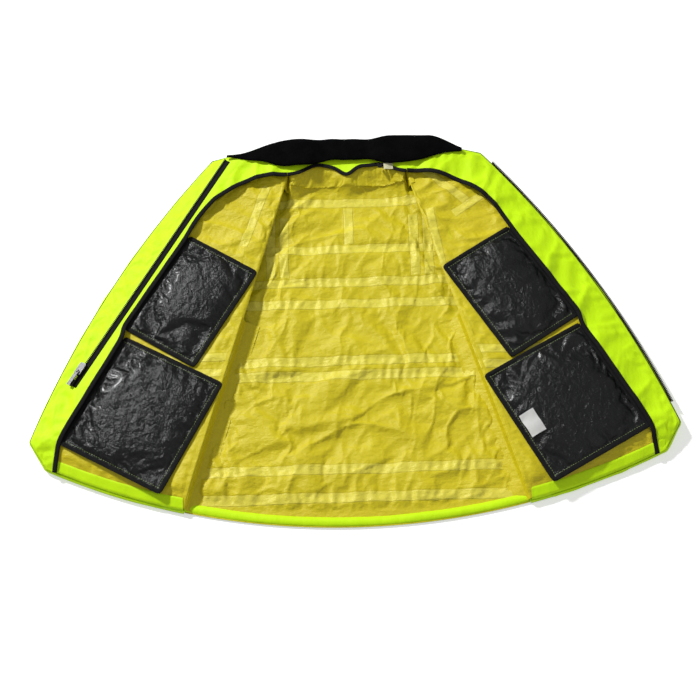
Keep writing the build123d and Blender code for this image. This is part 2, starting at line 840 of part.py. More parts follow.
cylinder_plane = Plane(
    origin=set_plane.from_local_coords((body_length, 0, 0)),
    x_dir=(0, 0, 1),
    z_dir=set_plane.x_dir,
)
with BuildPart() as gas_cylinder:
    with BuildSketch(cylinder_plane.offset(-cylinder_neck_length)):
        Circle(cylinder_neck_diameter / 2)
    extrude(amount=cylinder_neck_length + cylinder_neck_length)
    with BuildSketch(cylinder_plane.offset(slider_gap)):
        Circle(cylinder_diameter / 2)
    extrude(amount=cylinder_length)
    cylinder_end = gas_cylinder.faces().sort_by(axis_of(cylinder_plane))[-1]
    fillet(cylinder_end.edges(), cylinder_diameter / 3)
save_right(gas_cylinder, "gas_cylinder")

cap_plane = Plane(
    origin=set_plane.from_local_coords((-fold_gap, 0, 0)),
    x_dir=(0, 0, 1),
    z_dir=set_plane.x_dir * -1,
)
with BuildPart() as water_cap:
    with BuildSketch(cap_plane):
        Circle(water_cap_diameter / 2)
    extrude(amount=water_cap_length)
    chamfer(water_cap.faces().sort_by(axis_of(cap_plane))[-1].edges(), binding_lap)
save_right(water_cap, "water_cap")

with BuildPart() as manual_lever:
    with BuildSketch(lever_plane.offset(-lever_size[2] / 2)):
        with Locations((lever_size[0] / 2 - lever_size[1] / 2, 0)):
            SlotOverall(lever_size[0], lever_size[1])
        Circle(lever_pin_diameter / 2 + floor_gap, mode=Mode.SUBTRACT)
    extrude(amount=lever_size[2])
save_right(manual_lever, "manual_lever")

# Oral tube on the left lobe, pointing to the collar
oral_down, oral_out = oral_place
oral_base = shell_thickness + lobe_height
oral_axis_height = oral_base + oral_tube_diameter / 2 + oral_cap_wall + oral_fit + floor_gap
oral_point = at_fold(oral_down, oral_out)
oral_plane = Plane(
    origin=(oral_point.X, oral_point.Y, oral_axis_height),
    x_dir=(0, 0, 1),
    z_dir=(-fold_down.X, -fold_down.Y, 0),
)
with BuildPart() as oral_tube:
    with BuildSketch(Plane.XY.offset(oral_base)):
        with Locations(oral_point):
            Circle(oral_flange_diameter / 2)
    extrude(amount=oral_flange_height)
    with BuildSketch(oral_plane):
        Circle(oral_tube_diameter / 2)
    extrude(amount=oral_tube_length)
    with BuildSketch(Plane.XY.offset(oral_base + oral_flange_height)):
        with Locations(oral_point):
            Circle(oral_tube_diameter / 2)
    extrude(amount=oral_axis_height - oral_base - oral_flange_height)
    with Locations((oral_point.X, oral_point.Y, oral_axis_height)):
        Sphere(oral_tube_diameter / 2)
    with BuildSketch(oral_plane.offset(oral_tube_length)):
        Circle(oral_bore / 2)
    extrude(amount=-valve_core_length - valve_core_depth, mode=Mode.SUBTRACT)
save(oral_tube, "oral_tube")

with BuildPart() as valve_core:
    with BuildSketch(oral_plane.offset(oral_tube_length - valve_core_depth)):
        Circle(valve_core_diameter / 2)
    extrude(amount=valve_core_length - binding_lap)
save(valve_core, "oral_valve_core")

cap_start = oral_tube_length - oral_cap_lap
with BuildPart() as oral_cap:
    with BuildSketch(oral_plane.offset(cap_start)):
        Circle(oral_tube_diameter / 2 + oral_fit + oral_cap_wall)
    extrude(amount=oral_cap_length)
    with BuildSketch(oral_plane.offset(cap_start)):
        Circle(oral_tube_diameter / 2 + oral_fit)
    extrude(amount=oral_cap_length - oral_cap_wall, mode=Mode.SUBTRACT)
save(oral_cap, "oral_cap")
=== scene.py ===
import json
import math
import bpy
import numpy as np
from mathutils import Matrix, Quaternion, Vector

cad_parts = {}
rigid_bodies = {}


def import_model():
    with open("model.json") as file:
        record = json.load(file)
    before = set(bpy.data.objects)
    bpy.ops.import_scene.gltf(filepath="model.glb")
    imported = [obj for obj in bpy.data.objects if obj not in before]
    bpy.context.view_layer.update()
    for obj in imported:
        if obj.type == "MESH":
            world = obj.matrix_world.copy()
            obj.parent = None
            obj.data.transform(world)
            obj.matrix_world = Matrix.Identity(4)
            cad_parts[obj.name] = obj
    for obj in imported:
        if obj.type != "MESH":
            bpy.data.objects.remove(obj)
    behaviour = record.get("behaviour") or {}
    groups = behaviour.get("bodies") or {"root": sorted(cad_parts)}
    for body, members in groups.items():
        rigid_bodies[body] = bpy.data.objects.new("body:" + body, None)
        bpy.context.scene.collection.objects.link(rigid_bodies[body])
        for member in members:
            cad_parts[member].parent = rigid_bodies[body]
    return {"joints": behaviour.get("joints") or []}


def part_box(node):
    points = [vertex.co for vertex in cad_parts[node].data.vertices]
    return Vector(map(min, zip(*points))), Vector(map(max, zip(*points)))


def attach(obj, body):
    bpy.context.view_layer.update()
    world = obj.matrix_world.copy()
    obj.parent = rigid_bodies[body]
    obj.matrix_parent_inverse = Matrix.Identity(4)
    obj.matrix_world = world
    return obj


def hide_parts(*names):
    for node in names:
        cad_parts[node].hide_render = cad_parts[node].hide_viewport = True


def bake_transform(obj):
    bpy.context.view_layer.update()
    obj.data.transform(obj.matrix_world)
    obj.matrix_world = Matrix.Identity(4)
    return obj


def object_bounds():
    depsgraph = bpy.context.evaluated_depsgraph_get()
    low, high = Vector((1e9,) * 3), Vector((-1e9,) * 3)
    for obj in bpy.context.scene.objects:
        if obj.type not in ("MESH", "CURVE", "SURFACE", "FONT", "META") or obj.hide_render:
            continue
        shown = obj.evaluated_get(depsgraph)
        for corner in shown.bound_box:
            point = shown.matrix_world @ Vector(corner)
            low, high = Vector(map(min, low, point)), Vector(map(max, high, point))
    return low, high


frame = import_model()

cadBox = [list(c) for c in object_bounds()]
joints = {j["name"]: j for j in frame["joints"]}
scene = bpy.context.scene

# ---- shader helpers


class Value:
    # a number output of a node; Python operators on it add Math nodes
    def __init__(self, tree, out):
        self.tree = tree
        self.out = out

    def math(self, kind, a, b=0.0, clamp=False):
        node = self.tree.nodes.new("ShaderNodeMath")
        node.operation = kind
        node.use_clamp = clamp
        for socket, value in zip(node.inputs, (a, b)):
            if isinstance(value, Value):
                self.tree.links.new(value.out, socket)
            else:
                socket.default_value = value
        return Value(self.tree, node.outputs[0])

    def __add__(self, other):
        return self.math("ADD", self, other)

    def __radd__(self, other):
        return self.math("ADD", other, self)

    def __sub__(self, other):
        return self.math("SUBTRACT", self, other)

    def __rsub__(self, other):
        return self.math("SUBTRACT", other, self)

    def __mul__(self, other):
        return self.math("MULTIPLY", self, other)

    def __rmul__(self, other):
        return self.math("MULTIPLY", other, self)

    def __truediv__(self, other):
        return self.math("DIVIDE", self, other)

    def __pow__(self, other):
        return self.math("POWER", self, other)

    def __abs__(self):
        return self.math("ABSOLUTE", self)

    def over(self, edge):
        return self.math("GREATER_THAN", self, edge)

    def low(self, other):
        return self.math("MINIMUM", self, other)

    def high(self, other):
        return self.math("MAXIMUM", self, other)

    def sine(self):
        return self.math("SINE", self)

    def clip(self):
        return self.math("ADD", self, 0.0, clamp=True)


class Finish:
    # one material: node() makes any node, wire() feeds the surface
    def __init__(self, name, **plain):
        self.material = bpy.data.materials.new(name)
        self.material.use_nodes = True
        self.tree = self.material.node_tree
        self.surface = self.tree.nodes["Principled BSDF"]
        for socket, value in plain.items():
            self.surface.inputs[socket.replace("_", " ")].default_value = value

    def node(self, kind, settings=None, sockets=None, out=0):
        node = self.tree.nodes.new(kind)
        for key, value in (settings or {}).items():
            if key == "stops":
                ramp = node.color_ramp
                for stop, (place, colour) in zip(range(len(value)), value):
                    spot = ramp.elements[stop] if stop < 2 else ramp.elements.new(place)
                    spot.position = place
                    spot.color = colour
            else:
                setattr(node, key, value)
        for key, value in (sockets or {}).items():
            if isinstance(value, Value):
                self.tree.links.new(value.out, node.inputs[key])
            else:
                node.inputs[key].default_value = value
        return Value(self.tree, node.outputs[out])

    def place(self, scale=(1, 1, 1), turn=0.0, uv=False):
        at = self.node("ShaderNodeTexCoord", out="UV" if uv else "Object")
        return self.node("ShaderNodeMapping", None,
                         {"Vector": at, "Scale": scale, "Rotation": (0, 0, turn)})

    def axes(self, uv=False):
        at = self.node("ShaderNodeTexCoord", out="UV" if uv else "Object")
        split = self.tree.nodes.new("ShaderNodeSeparateXYZ")
        self.tree.links.new(at.out, split.inputs[0])
        return [Value(self.tree, o) for o in split.outputs]

    def noise(self, size, detail=3.0, rough=0.5, stretch=(1, 1, 1), turn=0.0, uv=False):
        # size is the width of one blotch in metres (or in UV units)
        at = self.place(stretch, turn, uv)
        return self.node("ShaderNodeTexNoise", None,
                         {"Vector": at, "Scale": 1.0 / size, "Detail": detail, "Roughness": rough})

    def weave(self, pitch):
        # two crossed sets of yarns, each a sine across the cloth
        x, y, z = self.axes()
        turns = 2 * math.pi / pitch
        return ((x * turns).sine() * (y * turns).sine()) * 0.5 + 0.5

    def mix(self, mask, first, second):
        node = self.tree.nodes.new("ShaderNodeMix")
        node.data_type = "RGBA"
        for socket, value in ((node.inputs[0], mask), (node.inputs[6], first), (node.inputs[7], second)):
            if isinstance(value, Value):
                self.tree.links.new(value.out, socket)
            else:
                socket.default_value = (*value, 1) if isinstance(value, tuple) else value
        return Value(self.tree, node.outputs[2])

    def wire(self, socket, value):
        self.tree.links.new(value.out, self.surface.inputs[socket])

    def bump(self, height, depth, strength=1.0):
        self.wire("Normal", self.node("ShaderNodeBump", None,
                                      {"Height": height, "Distance": depth, "Strength": strength}))


# ---- plan of the jacket, from the frame
plan = {
    "hemRadius": 1.317,
    "hemLow": cadBox[0][1],
    "collarTop": cadBox[1][1],
    "foldFoot": 0.300,
    "cornerReach": 0.545,
    "frontFoot": (0.574, -0.208),
    "edgeTop": (0.262, 0.350),
    "collarTip": (0.226, 0.355),
    "edgeBow": 0.033,
    "shoulder": (0.240, 0.270),
    "facingFoot": 0.528,
    "armhole": (0.040, 0.330),
    "marginReach": 0.029,
    "neckHalf": 0.098,
    "neckEdge": 0.333,
    "neckDip": 0.017,
    "facingTilt": 15.0,
    "hemTilt": 20.0,
    "hemHeight": 0.012,
}
foldTop = np.array(joints["left_front_fold"]["pos_m"][:2])
foldDown = np.array(joints["left_front_fold"]["axis"][:2])
foldOut = np.array([-foldDown[1], foldDown[0]])
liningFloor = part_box("back_lining")[1].z
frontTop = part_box("left_front_lining")[1].z
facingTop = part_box("left_front_facing")[1].z
facingThick = 0.0008


def hemY(x):
    return plan["hemLow"] + plan["hemRadius"] - np.sqrt(plan["hemRadius"] ** 2 - x ** 2)


def hemPoint(x):
    return np.array([x, hemY(x)])


def atFold(down, out):
    return foldTop + foldDown * down + foldOut * out


foldFoot = hemPoint(plan["foldFoot"])
foldLength = float(np.linalg.norm(foldFoot - foldTop))
hemCorner = hemPoint(plan["cornerReach"])
facingFoot = hemPoint(plan["facingFoot"])
frontFoot = np.array(plan["frontFoot"])
edgeTop = np.array(plan["edgeTop"])
collarTip = np.array(plan["collarTip"])


def pouchFrame(level):
    # outer top corner, direction inwards and direction down of a left pouch, from its hinge
    hinge = joints[f"left_{level}_pouch_swing"]
    down = np.array(hinge["axis"][:2])
    across = np.array([-down[1], down[0]])
    return np.array(hinge["pos_m"][:2]), across, down


pouches = {
    "upper": {"width": 0.150, "height": 0.215, "gap": 0.002},
    "lower": {"width": 0.203, "height": 0.222, "gap": 0.002},
}
for level, pouch in pouches.items():
    hinge, across, down = pouchFrame(level)
    pouch["across"] = across
    pouch["along"] = down
    pouch["outerTop"] = hinge
    pouch["outerFoot"] = hinge + down * pouch["height"]
    pouch["corner"] = hinge - across * (pouch["width"] + pouch["gap"])
creaseAt = pouches["upper"]["outerTop"]
creaseDown = pouches["lower"]["outerFoot"] - creaseAt
creaseDown = creaseDown / np.linalg.norm(creaseDown)
creaseOut = np.array([-creaseDown[1], creaseDown[0]])
hemChord = (hemCorner - foldFoot) / np.linalg.norm(hemCorner - foldFoot)
hemOut = np.array([hemChord[1], -hemChord[0]])


def softLow(a, b, width):
    # the lower of two heights, with the corner between them rounded over width
    h = np.clip(0.5 + 0.5 * (b - a) / width, 0, 1)
    return b * (1 - h) + a * h - width * h * (1 - h)


def facingHeight(xy):
    # flat at the pouches, falling outwards past the crease and towards the hem
    slope = math.tan(math.radians(plan["facingTilt"]))
    fall = facingTop - ((xy - creaseAt) @ creaseOut) * slope
    hem = plan["hemHeight"] + 0.0027 - ((xy - foldFoot) @ hemOut) * math.tan(math.radians(plan["hemTilt"]))
    return softLow(softLow(np.full(xy.shape[:-1], facingTop), fall, 0.006), hem, 0.006)


def liningHeight(xy):
    # flat over the slab, falling towards the hem
    hem = plan["hemHeight"] + facingThick - ((xy - foldFoot) @ hemOut) * math.tan(math.radians(plan["hemTilt"]))
    return softLow(np.full(xy.shape[:-1], frontTop), hem, 0.006)


def creased(points, seed, size):
    # sharp-backed folds: one less the size of a smooth field, from -1 to 1
    return 1 - 3.2 * np.abs(wander(points, seed, size, 4))


def resample(points, count):
    # points spread evenly by length along a run of points
    points = np.asarray(points, float)
    step = np.r_[0, np.cumsum(np.linalg.norm(np.diff(points, axis=0), axis=1))]
    want = np.linspace(0, step[-1], count)
    return np.stack([np.interp(want, step, points[:, k]) for k in range(points.shape[1])], 1)


def arc(a, b, c, count=40):
    # the circle through three plan points, from a to c
    (ax, ay), (bx, by), (cx, cy) = a, b, c
    d = 2 * (ax * (by - cy) + bx * (cy - ay) + cx * (ay - by))
    ux = ((ax**2 + ay**2) * (by - cy) + (bx**2 + by**2) * (cy - ay) + (cx**2 + cy**2) * (ay - by)) / d
    uy = ((ax**2 + ay**2) * (cx - bx) + (bx**2 + by**2) * (ax - cx) + (cx**2 + cy**2) * (bx - ax)) / d
    centre = np.array([ux, uy])
    angles = [math.atan2(*(np.array(p) - centre)[::-1]) for p in (a, b, c)]
    start, middle, end = angles
    turn = 2 * math.pi
    sweep = (end - start) % turn
    if (middle - start) % turn > sweep:
        sweep -= turn
    t = start + np.linspace(0, 1, count) * sweep
    return centre + np.linalg.norm(np.array(a) - centre) * np.stack([np.cos(t), np.sin(t)], 1)


def edgeCurve():
    # the front's outer edge, from the shoulder to the hem's corner
    down = (frontFoot - edgeTop) / np.linalg.norm(frontFoot - edgeTop)
    middle = (edgeTop + frontFoot) / 2 + np.array([-down[1], down[0]]) * plan["edgeBow"]
    return arc(edgeTop, middle, frontFoot, 120)


def facingEdge():
    # the facing's free edge, from the neck round the shoulder and along the pouches to the hem
    neck = arc(atFold(0.022, 0.0), np.array(plan["shoulder"]), creaseAt, 60)
    rest = [pouches["upper"]["outerFoot"], pouches["lower"]["outerTop"], pouches["lower"]["outerFoot"]]
    points = np.vstack([neck, rest, facingFoot])
    smooth = resample(points, 400)
    for step in range(30):
        smooth[1:-1] = (smooth[:-2] + 2 * smooth[1:-1] + smooth[2:]) / 4
    return smooth


def wander(points, seed, size, count=5):
    # a smooth uneven field: sines of several sizes and directions added together
    rng = np.random.default_rng(seed)
    total = np.zeros(points.shape[:-1])
    for k in range(count):
        turn = rng.uniform(0, math.pi)
        pace = 2 * math.pi / (size * rng.uniform(0.5, 1.6))
        phase = rng.uniform(0, 2 * math.pi)
        total += np.sin((points[..., 0] * math.cos(turn) + points[..., 1] * math.sin(turn)) * pace
                        + phase + 1.3 * np.sin(points[..., k % 2] * pace * 0.37 + phase))
    return total / count


# ---- mesh helpers


def gridFaces(rows, cols, closed=False):
    r, c = np.meshgrid(np.arange(rows - 1), np.arange(cols if closed else cols - 1), indexing="ij")
    after = (c + 1) % cols
    return np.stack([r * cols + c, (r + 1) * cols + c, (r + 1) * cols + after, r * cols + after], -1).reshape(-1, 4)


def makePiece(name, points, faces, material, uv=None, smooth=True):
    mesh = bpy.data.meshes.new(name)
    mesh.from_pydata(np.asarray(points, float).reshape(-1, 3), [], np.asarray(faces).tolist())
    if uv is not None:
        layer = mesh.uv_layers.new(name="UVMap")
        corner = np.empty(len(mesh.loops), int)
        mesh.loops.foreach_get("vertex_index", corner)
        layer.data.foreach_set("uv", np.asarray(uv, np.float32).reshape(-1, 2)[corner].ravel())
    mesh.polygons.foreach_set("use_smooth", [smooth] * len(mesh.polygons))
    mesh.validate()
    mesh.update()
    piece = bpy.data.objects.new(name, mesh)
    scene.collection.objects.link(piece)
    mesh.materials.append(material.material)
    return piece


def gridPiece(name, xyz, material, closed=False, flip=False):
    # a surface from a grid of points, with UVs in metres along it
    rows, cols = xyz.shape[:2]
    faces = gridFaces(rows, cols, closed)
    if flip:
        faces = faces[:, ::-1]
    u = np.r_[0, np.cumsum(np.linalg.norm(np.diff(xyz, axis=0), axis=2).mean(1))]
    v = np.r_[0, np.cumsum(np.linalg.norm(np.diff(xyz, axis=1), axis=2).mean(0))]
    uv = np.stack(np.meshgrid(u, v, indexing="ij"), -1)
    return makePiece(name, xyz, faces, material, uv)


def settled(piece):
    # the piece with its modifiers made real
    graph = bpy.context.evaluated_depsgraph_get()
    mesh = bpy.data.meshes.new_from_object(piece.evaluated_get(graph))
    piece.modifiers.clear()
    piece.data = mesh
    return piece


def thicken(piece, thickness, offset=-1.0):
    wall = piece.modifiers.new("wall", "SOLIDIFY")
    wall.thickness = thickness
    wall.offset = offset
    wall.use_even_offset = False
    return settled(piece)


def crumple(piece, pinned, growth, cap, steps=14, bend=0.02, seed=1):
    # cloth grown a little between its pinned points buckles into folds; no point moves past cap
    count = len(piece.data.vertices)
    before = np.empty(count * 3)
    piece.data.vertices.foreach_get("co", before)
    before = before.reshape(-1, 3)
    start = before.copy()
    start[:, 2] += 0.0006 * wander(before, seed, 0.05, 7) * (1 - pinned)
    piece.data.vertices.foreach_set("co", start.ravel())
    pins = piece.vertex_groups.new(name="pins")
    pins.add(np.flatnonzero(pinned > 0.5).tolist(), 1.0, "REPLACE")
    cloth = piece.modifiers.new("cloth", "CLOTH")
    cloth.settings.quality = 4
    cloth.settings.mass = 0.1
    cloth.settings.tension_stiffness = 12
    cloth.settings.compression_stiffness = 12
    cloth.settings.shear_stiffness = 6
    cloth.settings.bending_stiffness = bend
    cloth.settings.vertex_group_mass = "pins"
    cloth.settings.shrink_min = -growth
    cloth.settings.effector_weights.gravity = 0
    cloth.collision_settings.use_collision = False
    cloth.point_cache.frame_start = 1
    cloth.point_cache.frame_end = steps
    for step in range(1, steps + 1):
        scene.frame_set(step)
    graph = bpy.context.evaluated_depsgraph_get()
    after = np.empty(count * 3)
    piece.evaluated_get(graph).data.vertices.foreach_get("co", after)
    move = after.reshape(-1, 3) - before
    length = np.linalg.norm(move, axis=1, keepdims=True) + 1e-9
    move *= cap * np.tanh(length / cap) / length
    piece.modifiers.clear()
    piece.vertex_groups.clear()
    piece.data.vertices.foreach_set("co", (before + move).ravel())
    piece.data.update()
    scene.frame_set(1)
    return piece


def tube(path, normal, profile):
    # a profile of (side, up) points carried along a path; side lies square to the path and normal
    ahead = np.gradient(path, axis=0)
    ahead /= np.linalg.norm(ahead, axis=1, keepdims=True)
    side = np.cross(ahead, normal)
    side /= np.linalg.norm(side, axis=1, keepdims=True)
    up = np.cross(side, ahead)
    return path[:, None] + side[:, None] * profile[..., 0:1] + up[:, None] * profile[..., 1:2]


def capped(name, xyz, material):
    # a closed tube with its two ends shut
    rows, cols = xyz.shape[:2]
    faces = gridFaces(rows, cols, True).tolist()
    faces.append(list(range(cols)))
    faces.append(list(range((rows - 1) * cols, rows * cols))[::-1])
    mesh = makePiece(name, xyz, gridFaces(rows, cols, True), material)
    data = bpy.data.meshes.new(name)
    data.from_pydata(xyz.reshape(-1, 3), [], faces)
    data.polygons.foreach_set("use_smooth", [True] * len(data.polygons))
    data.materials.append(material.material)
    mesh.data = data
    return mesh


def mirrored(xyz, side):
    return xyz * np.array([side, 1, 1])


print("helpers ready")

# ---- finishes
neonCloth = Finish("neonCloth", Specular_IOR_Level=0.22)
yarns = neonCloth.weave(0.0011)
dye = neonCloth.noise(0.09, 4)
grime = (neonCloth.noise(0.035, 6, 0.7) - 0.60).clip() * 1.3
neonCloth.wire("Base Color", neonCloth.mix(grime, neonCloth.mix(dye, (0.55, 0.86, 0.0), (0.62, 0.97, 0.005)),
                                           (0.40, 0.50, 0.03)))
creases = neonCloth.noise(0.028, 4, 0.55, (1.0, 0.45, 1.0), 0.4)
neonCloth.wire("Roughness", 0.55 + dye * 0.14)
neonCloth.bump(creases * 1.0 + yarns * 0.03, 0.006, 0.45)


def coatedLining(name, rows, rowWidth, uprights, slants):
    # coated yellow cloth; its heat-sealed tapes are paler bands on Object coordinates
    finish = Finish(name, Specular_IOR_Level=0.34)
    x, y, z = finish.axes()
    ripple = (finish.noise(0.06, 2) - 0.5) * 0.006
    tapes = None
    edges = None

    def band(across, half):
        inside = ((half - abs(across)) * 900.0 + 0.5).clip()
        rim = (1.0 - abs(abs(across) - half) * 650.0).clip()
        return inside, rim

    def join(pair, limit=None):
        nonlocal tapes, edges
        inside, rim = pair
        if limit is not None:
            inside = inside * limit
            rim = rim * limit
        tapes = inside if tapes is None else tapes.high(inside)
        edges = rim if edges is None else edges.high(rim)

    for row in rows:
        join(band(y + ripple - row, rowWidth / 2))
    for middle, low, high in uprights:
        reach = ((y - low) * 400.0).clip() * ((high - y) * 400.0).clip()
        join(band(abs(x) + ripple - middle, rowWidth / 2), reach)
    for (ax, ay), (bx, by) in slants:
        length = math.hypot(bx - ax, by - ay)
        dx, dy = (bx - ax) / length, (by - ay) / length
        along = (x - ax) * dx + (y - ay) * dy
        across = (x - ax) * -dy + (y - ay) * dx
        reach = (along * 400.0).clip() * ((length - along) * 400.0).clip()
        join(band(across + ripple, rowWidth / 2), reach)
    blotch = finish.noise(0.12, 4)
    fine = finish.noise(0.012, 5, 0.6)
    cloth = finish.mix(blotch, (0.56, 0.465, 0.004), (0.73, 0.63, 0.014))
    cloth = finish.mix(fine * 0.35, cloth, (0.46, 0.37, 0.004))
    folds = finish.noise(0.022, 5, 0.6, (1.0, 1.8, 1.0), 0.25)
    height = folds * 1.0 + finish.weave(0.0012) * 0.02
    rough = 0.36 + fine * 0.25
    if tapes is not None:
        cloth = finish.mix(tapes * 0.55, cloth, (0.80, 0.73, 0.11))
        cloth = finish.mix(edges * 0.45, cloth, (0.42, 0.34, 0.01))
        height = height + tapes * 0.10 - edges * 0.10
        rough = rough - tapes * 0.08
    finish.wire("Base Color", cloth)
    finish.wire("Roughness", rough)
    finish.bump(height, 0.007, 0.50)
    return finish


backTapes = {
    "rows": (0.260, 0.159, 0.091, 0.047, -0.067, -0.095, -0.270, -0.320),
    "width": 0.018,
    "uprights": ((0.0, 0.169, 0.250), (0.124, 0.101, 0.232), (0.150, 0.101, 0.232)),
}
frontTapes = {
    "slants": (((-0.154, 0.290), (-0.200, 0.160)), ((0.142, 0.322), (0.231, 0.240)), ((0.200, 0.218), (0.270, 0.262)),
               ((0.155, 0.232), (0.172, 0.110)), ((-0.150, 0.110), (-0.190, -0.110))),
    "rows": (-0.060, -0.090),
    "width": 0.016,
}
backYellow = coatedLining("backYellow", backTapes["rows"], backTapes["width"], backTapes["uprights"], ())
frontYellow = coatedLining("frontYellow", frontTapes["rows"], frontTapes["width"], (), frontTapes["slants"])
plainYellow = coatedLining("plainYellow", (), 0.01, (), ())

pouchNylon = Finish("pouchNylon", Specular_IOR_Level=0.30, Coat_Roughness=0.16)
sheen = pouchNylon.noise(0.04, 4)
pouchNylon.wire("Base Color", pouchNylon.mix(sheen, (0.0025, 0.0034, 0.0028), (0.0060, 0.0070, 0.0062)))
crinkle = pouchNylon.noise(0.020, 6, 0.65, (1.0, 0.6, 1.0), 0.5)
crease = abs(pouchNylon.noise(0.030, 4, 0.6, (1.0, 1.0, 1.0), 1.1) - 0.5)
pouchNylon.wire("Roughness", 0.20 + pouchNylon.noise(0.010, 4) * 0.22)
pouchNylon.wire("Coat Weight", sheen * 0.14)
pouchNylon.bump(crinkle * 0.45 - crease * 1.2 + pouchNylon.weave(0.0016) * 0.02, 0.008, 0.75)

bindingTape = Finish("bindingTape", Roughness=0.85, Specular_IOR_Level=0.18)
ribs = bindingTape.weave(0.0014)
bindingTape.wire("Base Color", bindingTape.mix(bindingTape.noise(0.006, 3), (0.003, 0.003, 0.003), (0.012, 0.012, 0.012)))
bindingTape.bump(ribs, 0.0005, 0.6)

fleece = Finish("fleece", Roughness=1.0, Specular_IOR_Level=0.02)
pile = fleece.noise(0.0022, 5, 0.7)
fleece.wire("Base Color", fleece.mix(fleece.noise(0.02, 5), (0.0012, 0.0012, 0.0013), (0.005, 0.005, 0.0055)))
fleece.bump(pile + fleece.noise(0.02, 3) * 2.0, 0.003, 0.7)

reflective = Finish("reflective", Metallic=0.35, Roughness=0.35)
reflective.wire("Base Color", reflective.mix(reflective.noise(0.02, 4), (0.42, 0.43, 0.44), (0.56, 0.57, 0.58)))
reflective.bump(reflective.weave(0.0022), 0.0006, 0.6)

labelCloth = Finish("labelCloth", Roughness=0.7)
labelCloth.wire("Base Color", labelCloth.mix(labelCloth.noise(0.015, 4), (0.62, 0.62, 0.60), (0.76, 0.76, 0.74)))
labelCloth.bump(labelCloth.weave(0.0008) + labelCloth.noise(0.01, 3), 0.0010, 0.5)

paleYellowLabel = Finish("paleYellowLabel", Roughness=0.6)
paleYellowLabel.wire("Base Color", paleYellowLabel.mix(paleYellowLabel.noise(0.01, 3), (0.6, 0.58, 0.35), (0.7, 0.68, 0.45)))
paleYellowLabel.bump(paleYellowLabel.weave(0.0008), 0.0005, 0.5)

stitchThread = Finish("stitchThread", Roughness=0.6)
stitchThread.wire("Base Color", stitchThread.mix(stitchThread.noise(0.004, 3), (0.22, 0.32, 0.08), (0.34, 0.42, 0.18)))
stitchThread.bump(stitchThread.noise(0.0005, 2), 0.0003, 0.6)

zipCloth = Finish("zipCloth", Roughness=0.85, Specular_IOR_Level=0.18)
zipCloth.wire("Base Color", zipCloth.mix(zipCloth.noise(0.006, 3), (0.003, 0.003, 0.003), (0.010, 0.010, 0.010)))
zipCloth.bump(zipCloth.weave(0.0012), 0.0004, 0.6)


def mouldedPlastic(name, dark, light, rough, bump=0.0004):
    finish = Finish(name)
    finish.wire("Base Color", finish.mix(finish.noise(0.01, 4), dark, light))
    finish.wire("Roughness", rough + finish.noise(0.004, 4) * 0.15)
    finish.bump(finish.noise(0.0012, 3), bump, 0.4)
    return finish


zipPlastic = mouldedPlastic("zipPlastic", (0.004, 0.004, 0.004), (0.012, 0.012, 0.012), 0.32)
blackPlastic = mouldedPlastic("blackPlastic", (0.010, 0.010, 0.011), (0.024, 0.024, 0.025), 0.38)
bladderFilm = mouldedPlastic("bladderFilm", (0.55, 0.30, 0.02), (0.66, 0.38, 0.03), 0.34, 0.003)
capPlastic = mouldedPlastic("capPlastic", (0.55, 0.05, 0.02), (0.66, 0.08, 0.03), 0.34)
leverPlastic = mouldedPlastic("leverPlastic", (0.50, 0.30, 0.01), (0.62, 0.40, 0.02), 0.34)
oralRubber = mouldedPlastic("oralRubber", (0.02, 0.02, 0.02), (0.05, 0.05, 0.05), 0.55)
sliderMetal = Finish("sliderMetal", Metallic=0.85)
sliderMetal.wire("Base Color", sliderMetal.mix(sliderMetal.noise(0.003, 4), (0.02, 0.02, 0.02), (0.10, 0.10, 0.10)))
sliderMetal.wire("Roughness", 0.28 + sliderMetal.noise(0.002, 3) * 0.25)
sliderMetal.bump(sliderMetal.noise(0.001, 3), 0.0002, 0.4)
cylinderSteel = Finish("cylinderSteel", Metallic=1.0)
cylinderSteel.wire("Base Color", cylinderSteel.mix(cylinderSteel.noise(0.01, 4), (0.45, 0.44, 0.42), (0.62, 0.61, 0.60)))
cylinderSteel.wire("Roughness", 0.22 + cylinderSteel.noise(0.003, 4) * 0.2)
cylinderSteel.bump(cylinderSteel.noise(0.001, 3), 0.0002, 0.4)
print("finishes ready")

hands = {"left": 1, "right": -1}
slotFinish = {
    "back_reflective_bands": reflective, "hanger_loop": bindingTape, "neck_label": paleYellowLabel,
    "bladder_neck": bladderFilm, "right_zip_box": zipPlastic, "inflator_body": blackPlastic,
    "zip_slider": sliderMetal, "zip_puller": sliderMetal, "gas_cylinder": cylinderSteel,
    "water_cap": capPlastic, "manual_lever": leverPlastic, "oral_cap": oralRubber,
    "oral_valve_core": blackPlastic, "oral_tube": oralRubber,
}
for hand in hands:
    slotFinish[f"{hand}_front_reflective_bands"] = reflective
    slotFinish[f"{hand}_bladder_lobe"] = bladderFilm
for node, finish in slotFinish.items():
    for thing in [o for o in bpy.data.objects if o.name == node]:
        for slot in thing.material_slots:
            slot.material = finish.material

# ---- back
back = {"rows": 210, "cols": 190, "lift": 0.0012, "wrinkle": 0.0062, "neckReach": 0.055}


def smooth(x, low, high):
    t = np.clip((x - low) / (high - low), 0, 1)
    return t * t * (3 - 2 * t)


def marginReach(s, full):
    # how far the back reaches past the fold line under the front's lip
    return full * smooth(s, 0.036, 0.052) * (1 - smooth(s, 0.314, 0.330))


def backGrid(rows, cols, full, inset=0.0006, start=0.0, stop=0.0):
    # rows run across between the two folds; the lowest ones bend to follow the hem
    s = np.linspace(start, foldLength - stop, rows)
    side = foldTop + foldDown * s[:, None] + foldOut * (marginReach(s, full) - inset)[:, None]
    u = np.linspace(-1, 1, cols)
    x = side[:, 0:1] * u
    sag = (hemY(x) - hemY(side[:, 0:1])) * smooth(s / foldLength, 0.25, 1.0)[:, None]
    return np.stack([x, side[:, 1:2] + sag], -1)


